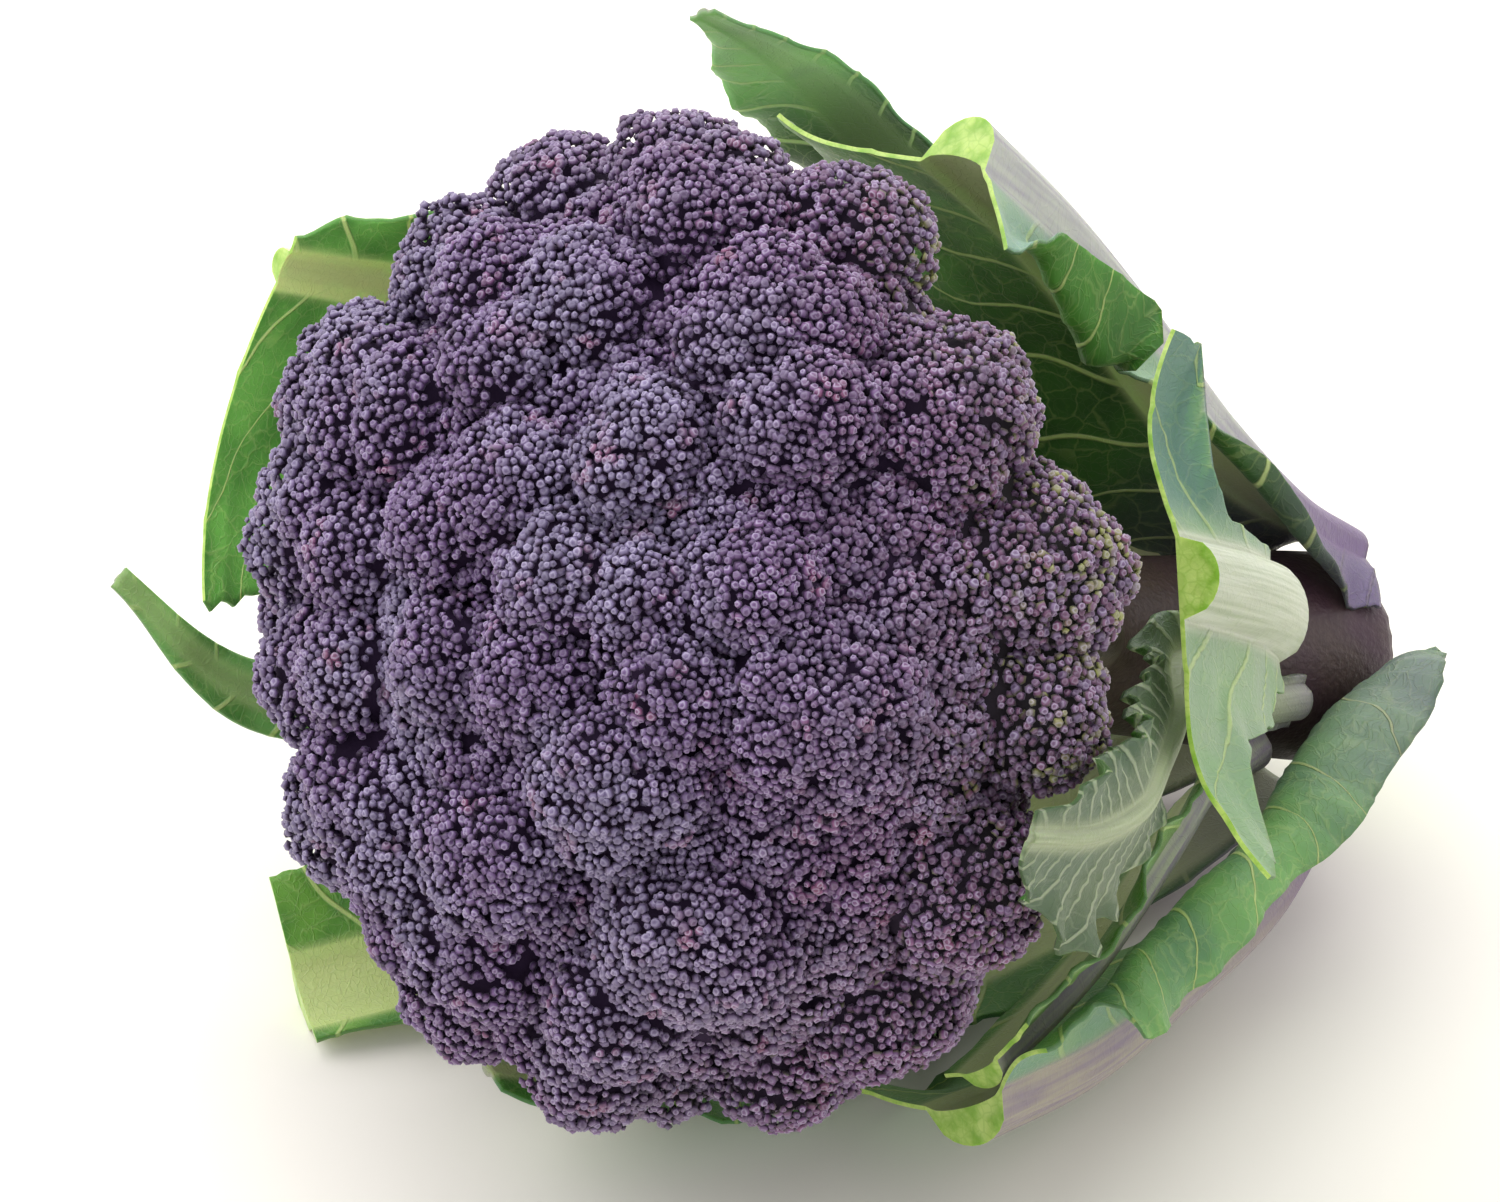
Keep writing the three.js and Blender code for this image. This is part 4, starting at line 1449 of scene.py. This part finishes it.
def leaves() -> List[Leaf]:
    """The ten leaves, each with its own cuts, folds and colours.

    Returns:
        The leaves.
    """
    return [
        Leaf(
            "leaf_upper",
            rib=[
                (13, 20.5, 13), (18, 25, 29), (21, 38, 53.4), (22, 55, 77.4), (22, 69, 100),
                (22, 80.5, 123),
            ],
            half=[(0, 5.2), (0.35, 9), (1, 8)],
            deep=(4, 9.5),
            near=[
                (0, 12, 15, 25, 34, 44, 0), (0.1, 13, 35, 45, 50, 40, 0), (0.22, 13, 40, 50, 20, -70, 0),
                (0.38, 9, 50, 40, -50, -100, 0), (0.5, 10, 60, 60, 10, -40, 0),
                (0.66, 13, 75, 75, 50, 20, 0), (0.71, 34, 78, 75, -75, -98, 0),
                (0.76, 28, 78, 75, -70, -95, 0), (0.82, 22, 75, 75, -60, -85, 0),
                (0.88, 16, 65, 70, -40, -80, 0), (0.94, 17, 50, 60, 20, -30, 0),
                (1, 20, 38, 38, 38, 38, 0),
            ],
            far=[
                (0, 3, 20, 20, 10, 0), (0.1, 11, 35, 45, 45, 0), (0.2, 19, 50, 55, 50, 0),
                (0.4, 30, 45, 50, 40, 0), (0.62, 26, 25, 30, 15, 0), (0.85, 32, 8, 5, -15, 5),
                (1, 34, 10, 5, -20, 12),
            ],
            wave=(1, 3, 0),
            # Painted shade: the foot of the inner face is darkened.
            finish=LeafFinish(
                "upper", inside=0x5A983C, outside=0x94AC98, dark=0x3C6E28, stem=0xB4B8AC,
                stem_tint=0x9C98A0, shade=0.7,
            ),
        ),
        Leaf(
            "leaf_top",
            rib=[
                (49, 22.5, 13), (54, 34, 31), (56, 52, 52), (55, 72, 72), (54, 90, 91), (51, 101, 110),
                (48, 105, 128), (46, 108, 146),
            ],
            half=[(0, 5.2), (0.3, 7.5), (0.7, 4), (1, 1.2)],
            deep=(4, 0.8),
            near=[
                (0, 1.5, 0, 0, 0, 0), (0.25, 4, 0, 0, 0, 0), (0.5, 6, 0, 20, 40, 0),
                (0.8, 4, 0, 20, 40, 0), (1, 1.5, 0, 0, 0, 0),
            ],
            far=[
                (0, 1.5, 0, 0, 0, 0), (0.25, 2, 0, 0, 0, 0), (0.5, 14, 0, 0, -10, 0),
                (0.8, 12, 0, -10, -30, 0), (1, 1.5, 0, 0, 0, 0),
            ],
            wave=(2, 3, 0.2),
            finish=LeafFinish(
                # Painted light: the greens of this leaf are lightened for the backlight shining through the
                # blade.
                "top", inside=0x8CCC70, outside=0x7CB87C, dark=0x78B46C, vein=0xC4DC94, spacing=11.0,
                # Painted shade: the foot of the inner face is darkened.
                shade=0.9, inner_rib=0.2,
            ),
            cut=False,
        ),
        Leaf(
            "leaf_near",
            rib=[(-48, 19, 50), (-49, 31, 59), (-50, 46, 73), (-50, 60, 94), (-50, 72, 122)],
            half=[(0, 5.2), (0.35, 8), (1, 6.8)],
            deep=(5, 6.5),
            near=[
                (0, 1.5, 0, 0, 0, 0, 0), (0.5, 6, 0, 0, 0, 0, 0), (0.7, 15, 0, 0, 0, -10, 0),
                (0.8, 18, 0, 0, -5, -15, 0), (0.87, 22, 0, 0, -20, -30, 0), (0.93, 42, -5, 0, -25, -38, 0),
                (1, 48, 0, 0, -28, -40, 0),
            ],
            far=[
                (0, 1.5, 0, 0, 0, 0, 0), (0.6, 3, 10, 10, 0, 0, 0), (0.8, 5, 15, 10, 0, -10, 0),
                (0.87, 11, 18, 12, -10, -25, 0), (0.93, 36, 20, 14, -10, -30, -10),
                (1, 38, 20, 15, -10, -30, -10),
            ],
            wave=(0.8, 3, 0.4),
            hollow=0,
            finish=LeafFinish(
                "near", outside=0x8CA284, wax=0x5A7F74, stem=0xC2C8B4, stem_tint=0xA6B094,
                spacing=12.0, mottle=0.1, waxy=(6.0, 16.0),
            ),
        ),
        Leaf(
            "leaf_lower",
            rib=[
                (-128, 21.5, 13), (-129, 30, 25), (-131, 47.5, 44), (-132, 62.5, 70), (-133, 73.5, 92),
                (-134, 81, 116),
            ],
            half=[(0, 5.5), (0.3, 9), (1, 10)],
            deep=(4, 8),
            near=[
                (0, 1.5, 10, 20, 10, 0), (0.3, 5, 15, 20, 10, 0), (0.6, 14, 10, 15, 10, 0),
                (0.85, 25, 0, 4, 4, 0), (1, 22, 15, 25, 25, 0),
            ],
            far=[
                (0, 18, 12, 30, 42, 30, -25), (0.08, 35, 40, 50, 10, -50, -20),
                (0.19, 40, 65, 55, -30, -60, -8), (0.3, 37, 75, 60, -40, -68, 0),
                (0.5, 32, 75, 65, -20, -110, 0), (0.7, 30, 75, 60, -60, -120, 0),
                (0.84, 27, 60, 40, -40, -100, 0), (0.9, 18, 50, 40, 20, 0, 0), (1, 16, 40, 30, 10, 0, 0),
            ],
            wave=(1, 4, 0.1),
            finish=LeafFinish(
                "lower", inside=0x72A45C, outside=0x7AA07C, dark=0x5E8C5C, stem=0xA8A090,
                stem_tint=0x8E8290,
            ),
        ),
        Leaf(
            "leaf_young",
            rib=[
                (-80, 22.5, 40), (-79, 27, 58), (-68, 34.5, 79), (-63, 46.5, 97), (-70, 60, 109),
                (-74.5, 71.5, 122), (-77.5, 83, 136), (-78.5, 90.5, 153), (-77.5, 96, 172),
            ],
            half=[(0, 3.5), (0.5, 2.6), (1, 1)],
            deep=(3, 0.9),
            near=[
                (0, 1.5, 0, 0, 0, 0), (0.6, 2, 0, 0, 0, 0), (0.7, 8, 0, 0, 0, 0),
                (0.78, 17, 10, 0, -10, 0), (0.85, 21, 10, 0, -10, 0), (0.93, 12, 10, 0, 0, 0),
                (1, 3, 0, 0, 0, 0),
            ],
            far=[
                (0, 1.5, 0, 0, 0, 0), (0.25, 3, 0, 0, 0, 0), (0.45, 9, 10, 20, 20, 0),
                (0.65, 12, 10, 20, 30, 0), (0.85, 12, 0, 10, 20, 0), (1, 3, 0, 0, 0, 0),
            ],
            wave=(2, 5, 0.3),
            finish=LeafFinish(
                "young", inside=0x4E643C, outside=0x5A6C50, wax=0x526852, vein=0xBCC6A6, stem=0xA4AE8C,
                stem_tint=0x8E9A78, spacing=4.8, thread=0.75,
            ),
            step=1.3, frill=1.2, teeth=0.1, cut=False,
        ),
        Leaf(
            "leaf_back",
            rib=[
                (84, 23.5, 14), (86, 36, 35), (87, 56, 66), (88, 78, 100), (88, 95, 135), (88, 103, 162),
                (88, 106, 187),
            ],
            half=[(0, 5.2), (0.3, 7.5), (1, 3.2)],
            deep=(4, 4),
            near=[
                (0, 1.5, 0, 0, 0, 0), (0.2, 1.5, 0, 0, 0, 0), (0.45, 10, 0, 10, 20, 0),
                (0.7, 17, 5, 20, 30, 0), (0.86, 20, 10, 25, 30, 0), (0.94, 9, 0, 10, 20, 0),
                (1, 3, 0, 0, 0, 0),
            ],
            far=[
                (0, 1.5, 0, 0, 0, 0), (0.25, 3, 0, 0, 0, 0), (0.45, 12, 0, 20, 20, 0),
                (0.7, 28, 5, 28, 45, 0), (0.85, 52, 5, 28, 50, 3), (1, 62, 5, 28, 50, 6),
            ],
            wave=(2, 3, 0.5),
            finish=LeafFinish(
                "back", inside=0x80C45C, outside=0x7FB066, dark=0x5C9E44, vein=0xE4F0A0,
                stem=0xE0EAA4, stem_tint=0xCCD890,
            ),
            step=2.0,
        ),
        Leaf(
            "leaf_thin",
            rib=[
                (124, 23.5, 13), (128, 40, 36), (131, 62, 70), (133, 84, 110), (132, 97, 150),
                (130, 103, 182), (120, 108, 205),
            ],
            half=[(0, 5.2), (0.3, 6.5), (1, 1)],
            deep=(4, 0.8),
            near=[
                (0, 1.5, 0, 0, 0, 0), (0.2, 1.5, 0, 0, 0, 0), (0.45, 8, 0, 10, 20, 0),
                (0.8, 4, 0, 0, 0, 0), (1, 1.2, 0, 0, 0, 0),
            ],
            far=[
                (0, 1.5, 0, 0, 0, 0), (0.2, 1.5, 0, 0, 0, 0), (0.45, 8, 0, 10, 20, 0),
                (0.8, 5, 0, 0, 0, 0), (1, 1.2, 0, 0, 0, 0),
            ],
            wave=(1, 3, 0.1),
            finish=LeafFinish("thin", inside=0x70A858, outside=0x6FA860, inner_rib=0.4),
            cut=False,
        ),
        Leaf(
            "leaf_left",
            rib=[
                (158, 23.5, 14), (160, 38, 36), (160, 59, 70), (160, 81, 110), (159, 99.8, 145),
                (158, 116.4, 171),
            ],
            half=[(0, 5.2), (0.35, 7.5), (1, 7)],
            deep=(4, 6),
            near=[
                (0, 1.5, 0, 0, 0, 0), (0.2, 1.5, 0, 0, 0, 0), (0.45, 8, 10, 20, 20, 0),
                (0.8, 19, 20, 30, 20, 0), (1, 16, 20, 30, 20, 0),
            ],
            far=[
                (0, 1.5, 0, 0, 0, 0), (0.3, 2, 10, 20, 20, 0), (0.8, 6, 20, 20, 20, 0),
                (1, 4, 20, 20, 20, 0),
            ],
            wave=(1.5, 3, 0.7),
            finish=LeafFinish("left", inside=0x6BA03C, outside=0x84A85A, stem=0xC6D08C, stem_tint=0xAFC078),
        ),
        Leaf(
            "leaf_floor",
            rib=[
                (-168, 23.5, 13), (-169, 36.6, 31), (-170, 52.4, 56), (-171, 68.4, 86), (-173, 83.4, 116),
                (-176, 91, 142), (-179, 91, 166),
            ],
            half=[(0, 5.2), (0.3, 7), (1, 2)],
            deep=(4, 1),
            near=[
                (0, 1.5, 0, 0, 0, 0), (0.3, 2, 0, 0, 0, 0), (0.5, 6, 0, 10, 20, 0), (0.8, 8, 0, 10, 10, 0),
                (1, 4, 0, 0, 0, 0),
            ],
            far=[
                (0, 1.5, 0, 0, 0, 0), (0.3, 3, 0, 0, 0, 0), (0.5, 12, 0, 10, 20, 0),
                (0.7, 17, 0, 10, 20, 0), (0.9, 12, 0, 10, 10, 0), (1, 5, 0, 0, 0, 0),
            ],
            wave=(1.5, 4, 0.2),
            finish=LeafFinish("floor", inside=0x4E8F34, outside=0x5C8F58),
            cut=False,
        ),
        Leaf(
            "leaf_inner",
            rib=[(-108, 22, 44), (-113, 28.5, 59), (-119, 41, 73), (-125, 60, 94), (-129, 77, 118)],
            half=[(0, 4.5), (0.4, 6), (1, 5.5)],
            deep=(4, 4),
            near=[(0, 1.5, 0, 0, 0, 0), (0.5, 3, 20, 20, 20, 0), (1, 4, 20, 20, 20, 0)],
            far=[
                (0, 1.5, 0, 0, 0, 0), (0.4, 8, 15, 10, 10, 0), (0.7, 18, 15, 10, 10, 0),
                (1, 14, 10, 10, 0, 0),
            ],
            wave=(1.5, 3, 0.6),
            finish=LeafFinish("inner", inside=0x5E9C3C, outside=0x7C9C62),
        ),
    ]


@dataclass
class Stalk:
    """The thick stalk, its cut butt and the branches that carry the florets, in millimetres."""

    butt: float = 11.5
    radius: float = 19.5
    sides: int = 40
    branches: int = 11
    branch_radius: float = 6.2
    branch_sides: int = 14
    voxel: float = 2.6
    flush: Tuple[float, float] = (100.0, 30.0)
    finish: StalkFinish = field(default_factory=StalkFinish)

    def limb(self, stations: Sequence[Tuple[np.ndarray, float]], sides: int) -> bpy.types.Object:
        """A closed round limb through stations of a point and a radius.

        Args:
            stations: Points with their radii.
            sides: Sides of the limb.

        Returns:
            The limb, still upright, in millimetres.
        """
        askew = np.array([0.02, 1.0, 0.01])
        points: List[np.ndarray] = []
        for i, (p, r) in enumerate(stations):
            before = stations[max(0, i - 1)][0]
            after = stations[min(len(stations) - 1, i + 1)][0]
            way = unit(after - before)
            side = unit(np.cross(askew, way))
            other = np.cross(way, side)
            for k in range(sides):
                a = 2 * math.pi * k / sides
                points.append(p + r * (side * math.cos(a) + other * math.sin(a)))
        faces: List[Tuple[int, ...]] = []
        for i in range(len(stations) - 1):
            for k in range(sides):
                a, b = i * sides + k, i * sides + (k + 1) % sides
                faces.append((a, b, b + sides, a + sides))
        faces.append(tuple(reversed(range(sides))))
        faces.append(tuple(range(len(points) - sides, len(points))))
        return mesh_object("limb", np.array(points), faces)

    def trunk(self) -> bpy.types.Object:
        """The stalk itself, from its cut butt up to the middle of the head.

        Returns:
            The limb.
        """
        r = self.radius
        stations = (
            (self.butt, r - 0.6), (self.butt + 1.2, r), (26, r - 0.5), (48, r - 2.5), (74, r - 4),
            (98, r - 5), (POSE.head_at - 20, 9),
        )
        return self.limb([(cylinder_point(0, 0, height), radius) for height, radius in stations], self.sides)

    def branch(self, number: int) -> bpy.types.Object:
        """One branch, which leaves the stalk low down and ends under the florets.

        Args:
            number: Number of the branch round the stalk.

        Returns:
            The limb.
        """
        azimuth = 360 / self.branches * number + 9
        low, out = 66 + (number % 3) * 5, 46 + (number % 2) * 12
        r = self.branch_radius
        return self.limb([
            (cylinder_point(azimuth, 6, low), r * 0.9), (cylinder_point(azimuth, 15, low + 20), r),
            (cylinder_point(azimuth, out * 0.6, low + 40), r * 1.05),
            (cylinder_point(azimuth, out, POSE.head_at - 16), r * 1.45),
        ], self.branch_sides)

    def join(self, limbs: Sequence[bpy.types.Object]) -> bpy.types.Object:
        """Melts limbs into one smooth body.

        Args:
            limbs: The limbs, of which the first is kept.

        Returns:
            The first limb, which now holds the body as a plain mesh.
        """
        merged = bmesh.new()
        for limb in limbs:
            merged.from_mesh(limb.data)
        bmesh.ops.recalc_face_normals(merged, faces=merged.faces)
        piece = limbs[0]
        merged.to_mesh(piece.data)
        merged.free()
        for limb in limbs[1:]:
            bpy.data.objects.remove(limb)
        remesh = piece.modifiers.new("join", "REMESH")
        remesh.mode, remesh.voxel_size = "VOXEL", self.voxel
        relax = piece.modifiers.new("relax", "SMOOTH")
        relax.factor, relax.iterations = 0.5, 4
        plain = evaluated_mesh(piece)
        piece.modifiers.clear()
        piece.data = plain
        return piece

    def build(self, cut_finish: bpy.types.Material) -> bpy.types.Object:
        """Makes the stalk.

        Args:
            cut_finish: Material of the cut butt.

        Returns:
            The piece.
        """
        piece = self.join([self.trunk()] + [self.branch(i) for i in range(self.branches)])
        mesh = piece.data
        piece.name = mesh.name = "stalk_body"
        places = np.zeros(len(mesh.vertices) * 3)
        mesh.vertices.foreach_get("co", places)
        places = places.reshape(-1, 3)
        # The voxels round the butt off a little, so its lowest millimetre is pressed flat again.
        at_butt = places[:, 2] < self.butt + 1.0
        places[:, 2] = np.where(at_butt, self.butt, places[:, 2])
        mesh.vertices.foreach_set("co", POSE.lay(places).ravel())
        mesh.update()
        shade_smooth(mesh)
        carry(mesh, low=smooth(*self.flush, places[:, 2]))
        mesh.materials.append(self.finish.material())
        mesh.materials.append(cut_finish)
        index = [1 if all(at_butt[i] for i in p.vertices) else 0 for p in mesh.polygons]
        mesh.polygons.foreach_set("material_index", index)
        settle(piece, "stalk_flesh", "stalk")
        return piece


@dataclass(frozen=True)
class Window:
    """A square soft light, with its place and side in metres and its power in watts."""

    name: str
    place: Tuple[float, float, float]
    side: float
    power: float


@dataclass
class Studio:
    """Pale table, soft daylight and the camera of the photograph.

    The camera's elevation is in degrees, its lens and sensor in millimetres, and the rest in metres.
    """

    elevation: float = 40.0
    distance: float = 1.0
    lens: float = 144.0
    shift: Tuple[float, float] = (0.04, 0.01267)
    sensor: float = 36.0
    table_colour: int = 0xF9F5EC
    table_reach: float = 2.5
    table_drop: float = 0.0002
    sky: float = 0.88
    aim: Tuple[float, float, float] = (0.0, 0.0, 0.08)
    windows: Tuple[Window, ...] = (
        Window("key_window", (-1.15, 0.4, 1.2), 1.5, 14.0),
        Window("back_window", (0.4, 1.5, 1.0), 1.5, 9.0),
        Window("ceiling_window", (0.1, 0.5, 2.0), 1.8, 16.0),
    )

    def build(self) -> None:
        """Sets up the camera, the table and the lights."""
        self.camera()
        self.table()
        for window in self.windows:
            self.light(window)
        world = bpy.data.worlds.new("pale_room")
        bpy.context.scene.world = world
        world.use_nodes = True
        background = world.node_tree.nodes["Background"]
        background.inputs["Color"].default_value = (1.0, 1.0, 1.0, 1.0)
        background.inputs["Strength"].default_value = self.sky
        bpy.context.scene.view_settings.view_transform = "Standard"

    def camera(self) -> None:
        """Places the camera at the height and distance of the photograph."""
        data = bpy.data.cameras.new("camera")
        data.lens, data.sensor_width = self.lens, self.sensor
        data.shift_x, data.shift_y = self.shift
        camera = bpy.data.objects.new("camera", data)
        e = math.radians(self.elevation)
        aim = Vector(POSE.head_middle) * MM
        camera.location = aim + Vector((0, -math.cos(e), math.sin(e))) * self.distance
        camera.rotation_euler = (math.pi / 2 - e, 0, 0)
        bpy.context.scene.collection.objects.link(camera)
        bpy.context.scene.camera = camera

    def table(self) -> None:
        """Lays the pale table under the plant, a hair lower, so that no face of the plant lies in it."""
        r, low = self.table_reach, -self.table_drop
        corners = np.array([(-r, -r, low), (r, -r, low), (r, r, low), (-r, r, low)])
        table = mesh_object("table", corners, [(0, 1, 2, 3)])
        finish = Shader("matt_white_table").finish(Base_Color=self.table_colour, Roughness=0.9)
        table.data.materials.append(finish)

    def light(self, window: Window) -> None:
        """Adds a soft window that faces the plant.

        Args:
            window: The window.
        """
        data = bpy.data.lights.new(window.name, "AREA")
        data.size, data.energy = window.side, window.power
        lamp = bpy.data.objects.new(window.name, data)
        lamp.location = window.place
        ray = Vector(self.aim) - Vector(window.place)
        lamp.rotation_euler = ray.to_track_quat("-Z", "Y").to_euler()
        bpy.context.scene.collection.objects.link(lamp)


def main() -> None:
    """Builds the studio and the plant; the pieces log their triangle counts."""
    logging.basicConfig(level=logging.INFO, format="%(name)s: %(message)s")
    Studio().build()
    cut_finish = CutFleshFinish().material()
    FloretHead().build()
    Stalk().build(cut_finish)
    for leaf in leaves():
        leaf.build(cut_finish)
    bpy.context.view_layer.update()


if __name__ == "__main__":
    main()
